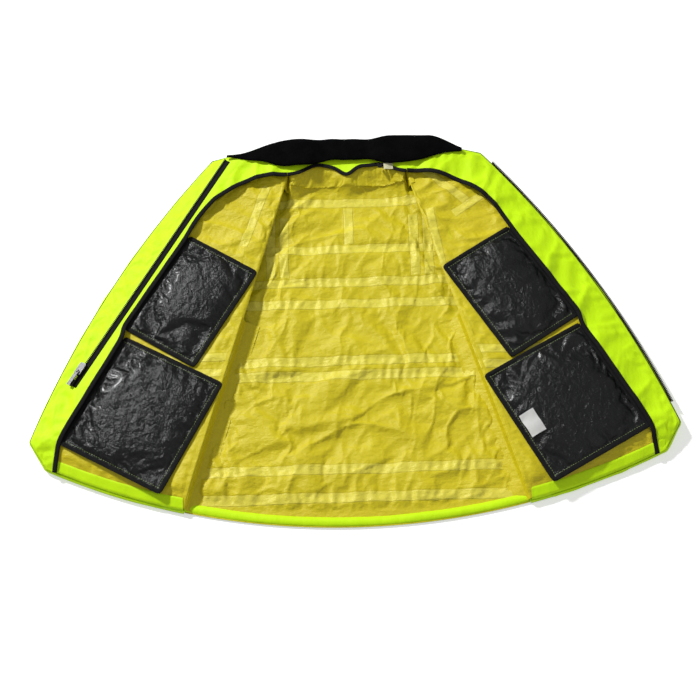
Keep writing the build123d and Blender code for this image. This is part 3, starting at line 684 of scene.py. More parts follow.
def neckEdgeY(x):
    # the shallow V of the neck's edge
    return (plan["neckEdge"] - 0.002 - 0.021 * smooth(np.abs(x), 0.055, 0.115)
            - (plan["neckDip"] + 0.004) * np.exp(-(x / 0.019) ** 2))


def neckRise(x):
    # the neck's cloth climbs to the fronts' facings at both ends
    return 0.0085 * smooth(np.abs(x), 0.060, 0.108)


plane = backGrid(back["rows"], back["cols"], plan["marginReach"] - 0.002)
edgeY = neckEdgeY(plane[..., 0])
plane[..., 1] = np.minimum(plane[..., 1], edgeY + 0.004)
riseUp = smooth(plane[..., 1], edgeY - back["neckReach"], edgeY + 0.002) * (1 - smooth(np.abs(plane[..., 0]), 0.108, 0.120))
waves = (wander(plane, 3, 0.16) * 0.5 + creased(plane * np.array([0.6, 1.3]), 4, 0.13) * 0.5
         + creased(plane * np.array([1.4, 0.8]), 9, 0.07) * 0.3)
reach = np.linspace(0, 1, back["rows"])[:, None]
calm = (1 - smooth(reach, 0.93, 0.965)) * (1 - smooth(np.abs(np.linspace(-1, 1, back["cols"])), 0.93, 1.0))
low = liningFloor + 0.0005 + back["lift"] + back["wrinkle"] * np.clip(0.5 + 0.5 * waves, 0, 1.3) * (1 - 0.7 * riseUp) * calm
for row in backTapes["rows"]:
    # each sealed seam is gathered: short ripples along it, with flat cloth between the rows
    gather = np.exp(-((plane[..., 1] - row) / 0.011) ** 2)
    ripple = np.sin(plane[..., 0] * 2 * math.pi / 0.019 + 2.5 * np.sin(plane[..., 0] * 31 + row * 90))
    low = low * (1 - 0.25 * gather * calm) + 0.0009 * (1 + ripple) * gather * calm
backZ = low + (frontTop - 0.0016 + neckRise(plane[..., 0]) - low) * riseUp
points = np.concatenate([plane, backZ[..., None]], -1)
backLining = gridPiece("backLining", points, backYellow, flip=True)
edgeMask = np.zeros(plane.shape[:2])
edgeMask[:2] = edgeMask[-9:] = 1
edgeMask[:, :4] = edgeMask[:, -4:] = 1
crumple(backLining, np.maximum(edgeMask, riseUp > 0.9).ravel(), 0.045, 0.0055, bend=0.6, seed=5)
co = np.empty(len(backLining.data.vertices) * 3)
backLining.data.vertices.foreach_get("co", co)
co = co.reshape(-1, 3)
co[:, 2] = np.maximum(co[:, 2], liningFloor + 0.0004)
underBand = (co[:, 1] < hemY(co[:, 0]) + 0.024)
co[underBand, 2] = np.minimum(co[underBand, 2], 0.0036)
backLining.data.vertices.foreach_set("co", co.ravel())
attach(backLining, "back")
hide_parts("back_lining", "back_seam_tapes")


def gridArea(xyz):
    # area of a grid of points, by the cross product of each cell's diagonals
    one = xyz[1:, 1:] - xyz[:-1, :-1]
    two = xyz[1:, :-1] - xyz[:-1, 1:]
    return float(np.linalg.norm(np.cross(one, two), axis=-1).sum() / 2)


def flatSize(xyz, grow=1.0):
    # the rectangle a sheet is cut from, by its longest grid lines, and its own flat area
    down = np.linalg.norm(np.diff(xyz, axis=0), axis=2).sum(0).max() * grow
    across = np.linalg.norm(np.diff(xyz, axis=1), axis=2).sum(1).max() * grow
    down, across = max(down, 0.0101), max(across, 0.0101)
    return (float(across), float(down)), float(min(gridArea(xyz), across * down))


def sheetOf(xyz, grow=1.0):
    size, area = flatSize(xyz, grow)


sheetOf(points)

hemWidth = 0.022
# the hem's band wraps over the lining's edge, and is a strip along the hem
u = np.linspace(-1, 1, 160)
hemX = u * (plan["foldFoot"] - 0.0006)
across = np.linspace(0, 1, 9)
stripX = hemX[:, None] * (1 - across * hemWidth / 1.3)
stripY = hemY(stripX) + across * hemWidth
stripZ = 0.0018 + 0.0050 * np.sin(np.clip(across * 1.15, 0, 1) * math.pi) ** 0.6 + 0.0008 * wander(
    np.stack([stripX, stripY], -1), 8, 0.05)
points = np.stack([stripX, stripY, stripZ + 0 * stripX], -1)
points[:, 0, 2] = 0.0007
backHemBand = gridPiece("backHemBand", points, neonCloth)
sheetOf(points)
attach(backHemBand, "back")
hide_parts("back_hem_facing")

plane = backGrid(90, 90, plan["marginReach"])
points = np.concatenate([plane, (0.0010 + 0.0004 * wander(plane, 11, 0.07))[..., None]], -1)
upTo = np.where(np.abs(plane[..., 0]) < 0.101, 0.350, 0.345)
backShell = gridPiece("backShell", points, neonCloth)
sheetOf(points)
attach(backShell, "back")
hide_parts("back_shell")
print("back ready")

# ---- neck
neck = {"top": 0.0284, "collarY": 0.352, "bandWidth": 0.0076, "wave": 0.0016}
u = np.linspace(-1, 1, 121)
neckX = u * 0.1145
t = np.linspace(0, 1, 10)
neckLow = neckEdgeY(neckX) + 0.0016 * np.sin(neckX * 95 + 1.0) * (1 - np.abs(u) ** 4)
neckY = neckLow[:, None] + (neck["collarY"] - neckLow[:, None]) * t
neckXs = neckX[:, None] + 0 * t
neckZ = neck["top"] + 0.0008 + neckRise(neckX)[:, None] + neck["wave"] * np.sin(neckX * 80)[:, None] * (1 - t) * 0.6
points = np.stack([neckXs, neckY, neckZ], -1)
neckFacing = gridPiece("neckFacing", points, neonCloth)
sheetOf(points)
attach(neckFacing, "back")
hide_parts("neck_facing")

# a folded tape: a flat oval carried along an edge
turns = np.linspace(0, 2 * math.pi, 12, endpoint=False)


def foldedTape(width, thick, power=0.55):
    c, s = np.cos(turns), np.sin(turns)
    return np.stack([np.sign(c) * np.abs(c) ** power * width / 2, np.sign(s) * np.abs(s) ** power * thick / 2], -1)


def tapeAlong(name, path, width, thick, material, normal=(0, 0, 1)):
    profile = np.broadcast_to(foldedTape(width, thick), (len(path), 12, 2))
    xyz = tube(path, np.array(normal, float), profile)
    piece = capped(name, xyz[:, ::-1], material)
    return piece


tapePath = np.stack([neckX, neckLow - 0.001, neckZ[:, 0] + 0.0003], -1)
neckBinding = tapeAlong("neckBinding", tapePath, neck["bandWidth"], 0.0024, bindingTape)
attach(neckBinding, "back")
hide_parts("neck_binding")
print("neck ready")

# ---- fronts
front = {"rows": 170, "facingCols": 34, "liningCols": 60, "tuck": 0.012, "roll": 0.004, "wave": 0.0034,
         "liningWave": 0.0030, "bulge": 0.003}
freeEdge = facingEdge()
outerRim = resample(np.vstack([np.linspace(atFold(0.0, 0.0006), collarTip, 12)[:-1], np.linspace(collarTip, edgeTop, 8)[:-1],
                               edgeCurve(), np.linspace(frontFoot, hemCorner, 10)[1:]]), 400)


def nearestShare(line, point):
    # how far along a line its nearest point to a plan point lies, from 0 to 1
    return float(np.argmin(np.linalg.norm(line - np.array(point), axis=1))) / (len(line) - 1)


def lineAt(line, share):
    spot = np.clip(share, 0, 1) * (len(line) - 1)
    return np.stack([np.interp(spot, np.arange(len(line)), line[:, k]) for k in range(2)], -1)


facingKeys = [(0.0, 0.0), (nearestShare(freeEdge, plan["shoulder"]), nearestShare(outerRim, edgeTop)),
              (nearestShare(freeEdge, creaseAt), nearestShare(outerRim, (0.395, 0.185))),
              (nearestShare(freeEdge, pouches["lower"]["outerTop"]), nearestShare(outerRim, (0.500, -0.045))), (1.0, 1.0)]


def facingPlan(rows, cols):
    # straight rulings from the free edge out to the rim, matched at a few places
    share = np.linspace(0, 1, rows)
    inner = lineAt(freeEdge, share)
    outer = lineAt(outerRim, np.interp(share, *zip(*facingKeys)))
    t = np.linspace(0, 1, cols)
    grid = inner[:, None] * (1 - t[:, None]) + outer[:, None] * t[:, None]
    # the last rows bend to follow the hem
    x = grid[..., 0]
    straight = inner[:, None, 1] * (1 - t) + outer[:, None, 1] * t
    chord = hemY(inner[:, 0:1]) * (1 - t) + hemY(outer[:, 0:1]) * t
    return np.stack([x, straight + (hemY(x) - chord) * smooth(share, 0.75, 1.0)[:, None]], -1)


def edgeSide(grid):
    # unit plan direction of each row, pointing outwards
    way = grid[:, -1] - grid[:, 0]
    return way / (np.linalg.norm(way, axis=1, keepdims=True) + 1e-9)


zipLook = {"top": (0.0188, 0.1246), "foot": (0.5285, 0.2602), "tape": 0.014, "pitch": 0.0030}
zipStart, zipEnd = atFold(*zipLook["top"]), atFold(*zipLook["foot"])
zipDown = (zipEnd - zipStart) / np.linalg.norm(zipEnd - zipStart)
zipOut = np.array([-zipDown[1], zipDown[0]])


def byZip(plane):
    # 1 along the straight zip, fading to 0 beside it and past its two ends
    along = (plane - zipStart) @ zipDown
    aside = (plane - zipStart) @ zipOut + zipLook["tape"] * 0.35
    length = float(np.linalg.norm(zipEnd - zipStart))
    return (1 - smooth(np.abs(aside), 0.011, 0.024)) * smooth(along, -0.03, 0.0) * (1 - smooth(along, length, length + 0.03))


def frontFacingGrid(side, seed):
    # the roof of the slab with waves; the rim rolls over a quarter circle to the wall
    plane = facingPlan(front["rows"], front["facingCols"])
    t = np.linspace(0, 1, front["facingCols"])
    share = np.linspace(0, 1, front["rows"])[:, None]
    z = facingHeight(plane) + facingThick
    reach = np.linalg.norm(plane[:, -1] - plane[:, 0], axis=1)[:, None]
    fromRim = (1 - t) * reach
    wave = wander(plane, seed, 0.14) * 0.6 + creased(plane * np.array([1.2, 0.8]), seed + 1, 0.11) * 0.5
    still = 1 - byZip(plane) if side < 0 else 1.0
    z = z + front["wave"] * wave * smooth(fromRim, 0.002, 0.03) * still
    z = z + 0.0022 * np.sin(share * 46 + seed) * (1 - smooth(t * reach, 0.0, 0.05)) * (1 - smooth(share, 0.28, 0.36)) * still
    roll = front["roll"]
    under = np.clip(1 - fromRim / roll, 0, 1)
    z = z - roll * (1 - np.sqrt(1 - under ** 2)) * 1.2
    z = np.maximum(z, 0.006)
    return np.concatenate([plane, z[..., None]], -1)


def frontLiningGrid(side, seed):
    # from the fold and the armhole's lip to just under the facing's free edge
    rows, cols = front["rows"], front["liningCols"]
    share = np.linspace(0, 1, rows)
    s = 0.010 + (foldLength - 0.010) * share
    inner = foldTop + foldDown * s[:, None] - foldOut * 0.0016
    along = lineAt(freeEdge, share)
    outer = along + edgeSide(facingPlan(rows, 4)) * front["tuck"]
    t = np.linspace(0, 1, cols)[:, None]
    plane = inner[:, None] * (1 - t) + outer[:, None] * t
    x = plane[..., 0]
    chord = hemY(inner[:, 0:1]) * (1 - t[:, 0]) + hemY(outer[:, 0:1]) * t[:, 0]
    plane[..., 1] += (hemY(x) - chord) * smooth(share, 0.6, 1.0)[:, None]
    plane[..., 1] += 0.0045 * smooth(share, 0.94, 1.0)[:, None]
    z = liningHeight(plane) + 0.0004
    fromFold = np.linalg.norm(plane - inner[:, None], axis=2)
    wave = wander(plane, seed, 0.10) * 0.5 + creased(plane * np.array([0.8, 1.4]), seed + 1, 0.08) * 0.4
    calm = smooth(fromFold, 0.0, 0.02) * (1 - smooth(t[:, 0], 0.9, 1.0)) * (1 - smooth(share[:, None], 0.93, 0.965))
    z = z + front["liningWave"] * (0.25 + 0.75 * wave) * calm
    under = np.clip(1 - fromFold / 0.003, 0, 1)
    z = z - 0.0024 * (1 - np.sqrt(1 - under ** 2))
    return np.concatenate([plane, z[..., None]], -1)


def underPouch(xy):
    # 1 under a pouch and its binding, fading to 0 over a centimetre
    most = np.zeros(xy.shape[:-1])
    for pouch in pouches.values():
        a = (xy - pouch["corner"]) @ pouch["across"]
        b = (xy - pouch["corner"]) @ pouch["along"]
        inside = (smooth(a, -0.014, -0.005) * (1 - smooth(a, pouch["width"] + 0.005, pouch["width"] + 0.014))
                  * smooth(b, -0.014, -0.005) * (1 - smooth(b, pouch["height"] + 0.005, pouch["height"] + 0.014)))
        most = np.maximum(most, inside)
    return most


def pressDown(piece, side):
    # the lining lies flat where a pouch, the facing or the hem's band lies on it
    co = np.empty(len(piece.data.vertices) * 3)
    piece.data.vertices.foreach_get("co", co)
    co = co.reshape(-1, 3)
    plane = co[:, :2] * [side, 1]
    flat = liningHeight(plane) + 0.0003
    cover = underPouch(plane)
    cover = np.maximum(cover, 1 - smooth(plane[:, 1] - hemY(plane[:, 0]), 0.024, 0.034))
    co[:, 2] = np.where(co[:, 2] > flat, flat * cover + co[:, 2] * (1 - cover), co[:, 2])
    piece.data.vertices.foreach_set("co", co.ravel())
    piece.data.update()


def wallLine(rows):
    # the slab's outline: down the fold with the armhole's notch, along the hem, up the outer edge
    s = np.linspace(0.0, foldLength, rows)
    notch = 0.0345 * smooth(s, 0.036, 0.046) * (1 - smooth(s, 0.322, 0.334))
    fold = foldTop + foldDown * s[:, None] + foldOut * (0.0006 + notch)[:, None]
    x = np.linspace(foldFoot[0] + 0.0006, hemCorner[0], 40)
    hem = np.stack([x, hemY(x)], -1)
    loop = np.vstack([fold, hem[1:], np.linspace(hemCorner, frontFoot, 10)[1:], edgeCurve()[::-1][1:],
                      np.linspace(edgeTop, collarTip, 6)[1:], np.linspace(collarTip, fold[0], 12)[1:-1]])
    return resample(np.vstack([loop, loop[:1]]), 520)[:-1]


def frontWallGrid(seed):
    # a wall round the slab that bulges a little; its foot turns in under the slab
    line = wallLine(200)
    ahead = np.roll(line, -1, 0) - np.roll(line, 1, 0)
    ahead /= np.linalg.norm(ahead, axis=1, keepdims=True)
    out = np.stack([-ahead[:, 1], ahead[:, 0]], -1)
    middle = line.mean(0)
    inwards = (((line - middle) * out).sum(1)).mean() < 0
    out = -out if inwards else out
    atHem = (line[:, 1] < hemY(line[:, 0]) + 0.003)
    fromFold = (line - foldTop) @ foldOut
    nearFold = fromFold < 0.040
    roof = np.where(nearFold | atHem, liningHeight(line), facingHeight(line))
    roof = np.minimum(roof, facingHeight(line)) - np.where(nearFold, 0.0022, 0.0006)
    for step in range(6):
        roof = (np.roll(roof, 1) + roof * 2 + np.roll(roof, -1)) / 4
    h = np.array([0.0, 0.04, 0.15, 0.3, 0.5, 0.7, 0.85, 0.96, 1.0])
    puff = front["bulge"] * (1 + 0.5 * wander(line, seed, 0.09))
    puff = np.where(nearFold, 0.0008, puff)
    lean = np.sin(h * math.pi) ** 0.8
    plane = line[:, None] + out[:, None] * (puff[:, None] * lean)[..., None] - out[:, None] * np.where(
        h < 0.02, 0.004, 0.0)[:, None]
    z = 0.0006 + (roof[:, None] - 0.0006) * h
    return np.concatenate([plane, z[..., None]], -1), line


def frontFloorGrid(seed):
    # the outside cloth under the slab, ruled between its two sides
    rows, cols = 110, 60
    share = np.linspace(0, 1, rows)
    s = share * foldLength
    notch = 0.0345 * smooth(s, 0.036, 0.046) * (1 - smooth(s, 0.322, 0.334))
    inner = foldTop + foldDown * s[:, None] + foldOut * (0.001 + notch)[:, None]
    rim = np.vstack([edgeCurve(), np.linspace(frontFoot, hemCorner, 10)[1:]])
    outer = lineAt(resample(np.vstack([collarTip, rim]), 300), share)
    t = np.linspace(0, 1, cols)[:, None]
    plane = inner[:, None] * (1 - t) + outer[:, None] * t
    chord = hemY(inner[:, 0:1]) * (1 - t[:, 0]) + hemY(outer[:, 0:1]) * t[:, 0]
    plane[..., 1] += (hemY(plane[..., 0]) - chord) * smooth(share, 0.6, 1.0)[:, None]
    z = 0.0006 + 0.0002 * wander(plane, seed, 0.06)
    return np.concatenate([plane, z[..., None]], -1)


def frontHemGrid(seed):
    # neon band along the hem, over the lining's lower edge and round the slab's foot
    x = np.linspace(foldFoot[0] + 0.0008, hemCorner[0] - 0.002, 90)
    t = np.linspace(0, 1, 12)
    gx = x[:, None] + 0 * t
    gy = hemY(gx) - 0.0022 + t * 0.024
    plane = np.stack([gx, gy], -1)
    top = liningHeight(plane) + 0.0018 + 0.0009 * wander(plane, seed, 0.04)
    rise = np.sin(np.clip(t / 0.28, 0, 1) * math.pi / 2)
    z = 0.0015 + (top - 0.0015) * rise
    z[:, -1] -= 0.0012
    return np.concatenate([plane, z[..., None]], -1)


def flipped(xyz, side):
    # the mirror image across the middle
    return mirrored(xyz, side)


facings = {}
for hand, side in hands.items():
    seed = 20 if side > 0 else 40
    body = f"{hand}_front"
    lining = mirrored(frontLiningGrid(side, seed), side)
    piece = gridPiece(f"{hand}FrontLining", lining, frontYellow, flip=side < 0)
    rim = np.zeros(lining.shape[:2])
    rim[:2] = rim[-2:] = 1
    rim[:, :3] = rim[:, -6:] = 1
    rim = np.maximum(rim, underPouch(lining[..., :2] * [side, 1]) > 0.5)
    crumple(piece, rim.ravel(), 0.045, 0.0040, bend=0.05, seed=seed)
    pressDown(piece, side)
    sheetOf(lining)
    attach(piece, body)
    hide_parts(f"{hand}_front_lining", f"{hand}_armhole_lip")

    facing = mirrored(frontFacingGrid(side, seed + 3), side)
    piece = gridPiece(f"{hand}FrontFacing", facing, neonCloth, flip=side < 0)
    rim = np.zeros(facing.shape[:2])
    rim[:2] = rim[-2:] = 1
    rim[:, :2] = rim[:, -4:] = 1
    if side < 0:
        rim = np.maximum(rim, byZip(facing[..., :2] * [side, 1]) > 0.6)
    crumple(piece, rim.ravel(), 0.030, 0.0030, bend=0.12, seed=seed + 4)
    facings[hand] = piece
    sheetOf(facing)
    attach(piece, body)
    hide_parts(f"{hand}_front_facing")

    edgeRow = facing[:, 0].copy()
    edgeRow[:, 2] += 0.0006
    fine = resample(edgeRow, 360)
    piece = tapeAlong(f"{hand}FacingBinding", fine, 0.0085, 0.0036, bindingTape)
    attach(piece, body)
    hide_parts(f"{hand}_facing_binding")

    wall, line = frontWallGrid(seed + 5)
    wall = mirrored(wall, side)
    loop = np.concatenate([wall, wall[:1]], 0)
    piece = gridPiece(f"{hand}FrontWall", loop, neonCloth, flip=side > 0)
    sheetOf(loop)
    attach(piece, body)
    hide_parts(f"{hand}_front_shell")

    under = mirrored(frontFloorGrid(seed + 6), side)
    piece = gridPiece(f"{hand}FrontOutside", under, neonCloth, flip=side > 0)
    sheetOf(under)
    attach(piece, body)

    band = mirrored(frontHemGrid(seed + 7), side)
    piece = gridPiece(f"{hand}FrontHemBand", band, neonCloth, flip=side < 0)
    sheetOf(band)
    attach(piece, body)
    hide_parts(f"{hand}_front_hem_facing")
print("fronts ready")

# ---- cloth between the back and each front
gusset = {"from": -0.030, "to": 0.008, "cols": 26}


def gussetGrid(s, seed):
    # an S-shaped slope from the back's lining up to the front's top edge
    rows = len(s)
    d = np.concatenate([np.linspace(gusset["from"], -0.004, 12), np.linspace(-0.0036, 0.0004, 9),
                        np.linspace(0.0016, gusset["to"], 5)])
    plane = foldTop + foldDown * s[:, None, None] + foldOut * d[None, :, None]
    hemMove = (hemY(plane[..., 0]) - (hemY(foldFoot[0]) + (plane[..., 1] * 0))) * smooth(s, foldLength - 0.12, foldLength)[:, None]
    high = liningHeight(plane) + 0.0010
    climb = 0.25 * smooth(d, -0.026, -0.003) + 0.75 * smooth(d, -0.0046, 0.0008)
    climb = np.maximum(climb, (1 - smooth(s, 0.004, 0.036))[:, None])
    low = liningFloor + 0.0016
    z = low + (high - low) * climb + 0.0010 * wander(plane, seed, 0.03) * np.sin(np.clip((d + 0.03) / 0.027, 0, 1) * math.pi)
    return np.concatenate([plane, z[..., None]], -1)


for hand, side in hands.items():
    for name, s in (("Side", np.linspace(0.327, foldLength - 0.004, 90)), ("Shoulder", np.linspace(-0.016, 0.046, 18))):
        xyz = mirrored(gussetGrid(s, 60 + side), side)
        piece = gridPiece(f"{hand}{name}Gusset", xyz, plainYellow, flip=side < 0)
        sheetOf(xyz)
        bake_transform(piece)
        # the outside cloth under the fold, a flat strip along it
        s = s[s < foldLength - 0.001] if name == "Shoulder" else np.r_[s, foldLength - 0.0015]
        s = s[s > 0.0] if name == "Shoulder" else s
        d = np.r_[np.linspace(-0.010, -0.0032, 4), np.linspace(-0.0028, 0.0028, 25), np.linspace(0.0032, 0.010, 4)]
        plane = foldTop + foldDown * s[:, None, None] + foldOut * d[None, :, None]
        outside = mirrored(np.concatenate([plane, 0.0008 + 0 * plane[..., :1]], -1), side)
        piece = gridPiece(f"{hand}{name}Outside", outside, neonCloth, flip=side > 0)
        sheetOf(outside)
        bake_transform(piece)
x = np.linspace(-0.106, 0.106, 60)
h = np.linspace(0, 1, 10)
wallY = 0.3520 + 0.0025 * np.sin(h * math.pi) + 0.0008 * np.sin(x[:, None] * 110)
wallZ = 0.0012 + (0.0290 + neckRise(x)[:, None] * 0.6) * h
xyz = np.stack([x[:, None] + 0 * h, wallY, wallZ], -1)
piece = gridPiece("neckBack", xyz, neonCloth, flip=False)
sheetOf(xyz)
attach(piece, "back")
print("gussets ready")

# ---- collar
collar = {"back": 0.3840, "front": 0.3380, "lap": 0.3240, "tip": 0.3495, "thick": 0.0095, "wave": 0.0014,
          "reach": {"left": 0.224, "right": 0.232}, "full": {"left": 0.160, "right": 0.085}}
collarTurns = np.linspace(0, 2 * math.pi, 28, endpoint=False)


def collarHalf(hand, side, seed):
    # a flattened oval carried out from the middle between a back edge and a front edge;
    # it laps over the facing past the fold and narrows to the tip
    reach = collar["reach"][hand]
    x = np.linspace(-0.0015, reach, 100)
    away = smooth(x, 0.0, 0.03)
    narrow = smooth(x, collar["full"][hand], reach + 0.012)
    backEdge = collar["back"] + (collar["tip"] + 0.002 - collar["back"]) * narrow + collar["wave"] * np.sin(x * 60 + seed) * away
    frontEdge = (collar["front"] + (collar["lap"] - collar["front"]) * smooth(x, 0.035, 0.085)
                 + (collar["tip"] - 0.002 - collar["lap"]) * smooth(x, 0.105, reach)
                 + 0.8 * collar["wave"] * np.sin(x * 90 + 2 * seed) * away)
    y, width = (backEdge + frontEdge) / 2, backEdge - frontEdge
    thick = collar["thick"] * (1 - 0.65 * smooth(x, 0.120, reach))
    z = 0.0360 + 0.0080 * smooth(x, 0.040, 0.085) - 0.0035 * smooth(x, 0.150, reach) + 0.0008 * np.sin(x * 85 + seed) * away
    c, s = np.cos(collarTurns), np.sin(collarTurns)
    cx = np.sign(c) * np.abs(c) ** 0.8
    cz = np.sign(s) * np.abs(s) ** 0.75
    ruck = 1 + 0.10 * np.sin(x[:, None] * 130 + 3 * c + seed) * away[:, None]
    gy = y[:, None] + width[:, None] / 2 * cx
    gz = z[:, None] + thick[:, None] / 2 * cz * ruck
    gx = np.broadcast_to(x[:, None], gy.shape) * 1.0
    return np.stack([side * gx, gy, gz], -1)


for hand, side in hands.items():
    xyz = collarHalf(hand, side, 1.0 + side)
    piece = capped(f"{hand}Collar", xyz if side > 0 else xyz[:, ::-1], fleece)
    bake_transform(piece)
    if side > 0:
        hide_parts("collar_centre", "left_collar_end")
    else:
        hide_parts("right_collar_end")

low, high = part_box("hanger_loop")
t = np.linspace(0, 1, 20)
loopPath = np.stack([low.x + 0.008 * t, 0.3270 - 0.010 * np.sin(t * math.pi), 0.0372 + 0.004 * np.sin(t * math.pi)], -1)
piece = tapeAlong("hangerLoop", loopPath, 0.005, 0.0016, bindingTape)
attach(piece, "back")
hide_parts("hanger_loop")
low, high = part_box("neck_label")
u, v = np.meshgrid(np.linspace(0, 1, 16), np.linspace(0, 1, 10), indexing="ij")
labelXyz = np.stack([low.x + (high.x - low.x) * u, 0.3130 + 0.0125 * v, 0.0392 + 0.001 * v + 0.0006 * np.sin(u * 5)], -1)
piece = gridPiece("neckLabel", labelXyz, paleYellowLabel)
sheetOf(labelXyz)
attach(piece, "back")
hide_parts("neck_label")
print("collar ready")


def overCloth(piece, xy, reach, rounds=6):
    # the highest point of a cloth near each plan point, evened along the run
    co = np.empty(len(piece.data.vertices) * 3)
    piece.data.vertices.foreach_get("co", co)
    co = co.reshape(-1, 3)
    away = ((xy[:, None] - co[None, :, :2]) ** 2).sum(-1)
    z = np.where(away < reach ** 2, co[None, :, 2], -1.0).max(1)
    z = np.where(z < 0, co[away.argmin(1), 2], z)
    for step in range(rounds):
        z = np.r_[z[0], (z[:-2] + 2 * z[1:-1] + z[2:]) / 4, z[-1]]
    return z


def repeated(name, shape, faces, places, ahead, aside, up, material):
    # copies of one small shape, each turned to its own three directions
    count, size = len(places), len(shape)
    xyz = (places[:, None] + ahead[:, None] * shape[None, :, 0:1] + aside[:, None] * shape[None, :, 1:2]
           + up[:, None] * shape[None, :, 2:3])
    allFaces = (np.array(faces)[None] + (np.arange(count) * size)[:, None, None]).reshape(-1, 4)
    return makePiece(name, xyz, allFaces, material)


def frameAlong(path, pitch):
    length = np.linalg.norm(np.diff(path, axis=0), axis=1).sum()
    places = resample(path, max(int(length / pitch), 3))
    ahead = np.gradient(places, axis=0)
    ahead /= np.linalg.norm(ahead, axis=1, keepdims=True)
    up = np.broadcast_to(np.array([0.0, 0.0, 1.0]), ahead.shape)
    aside = np.cross(up, ahead)
    aside /= np.linalg.norm(aside, axis=1, keepdims=True)
    return places, ahead, aside, np.cross(ahead, aside)


def rodShape(length, radius):
    # a thread: rings of six round a line, narrowed at both ends
    along = np.array([-0.5, -0.3, 0.3, 0.5]) * length
    thick = np.array([0.35, 1.0, 1.0, 0.35]) * radius
    a = np.linspace(0, 2 * math.pi, 6, endpoint=False)
    ring = np.stack([np.zeros(6), np.cos(a), np.sin(a)], -1)
    shape = ring[None] * thick[:, None, None]
    shape[..., 0] = along[:, None]
    faces = gridFaces(4, 6, True)[:, ::-1].tolist()
    faces += [[0, 5, 4, 3], [0, 3, 2, 1], [18, 19, 20, 21], [18, 21, 22, 23]]
    return shape.reshape(-1, 3), faces


# ---- pouches
pouchLook = {"lift": 0.0300, "puff": 0.0058, "cells": 0.0028, "growth": 0.075, "cap": 0.0065, "band": 0.0075}
stitch, stitchFaces = rodShape(0.0030, 0.00035)


def pouchPoint(pouch, side, a, b, z):
    plane = pouch["corner"] + pouch["across"] * np.asarray(a)[..., None] + pouch["along"] * np.asarray(b)[..., None]
    return mirrored(np.concatenate([plane, (z + 0 * plane[..., 0])[..., None]], -1), side)


def roundedPath(corners, radius, count):
    # straight runs joined by short arcs
    points = resample(np.array(corners, float), count)
    ends = points[[0, -1]].copy()
    step = np.linalg.norm(points[1] - points[0])
    for k in range(int((radius / step) ** 2) + 1):
        points[1:-1] = (points[:-2] + 2 * points[1:-1] + points[2:]) / 4
    points[[0, -1]] = ends
    return points


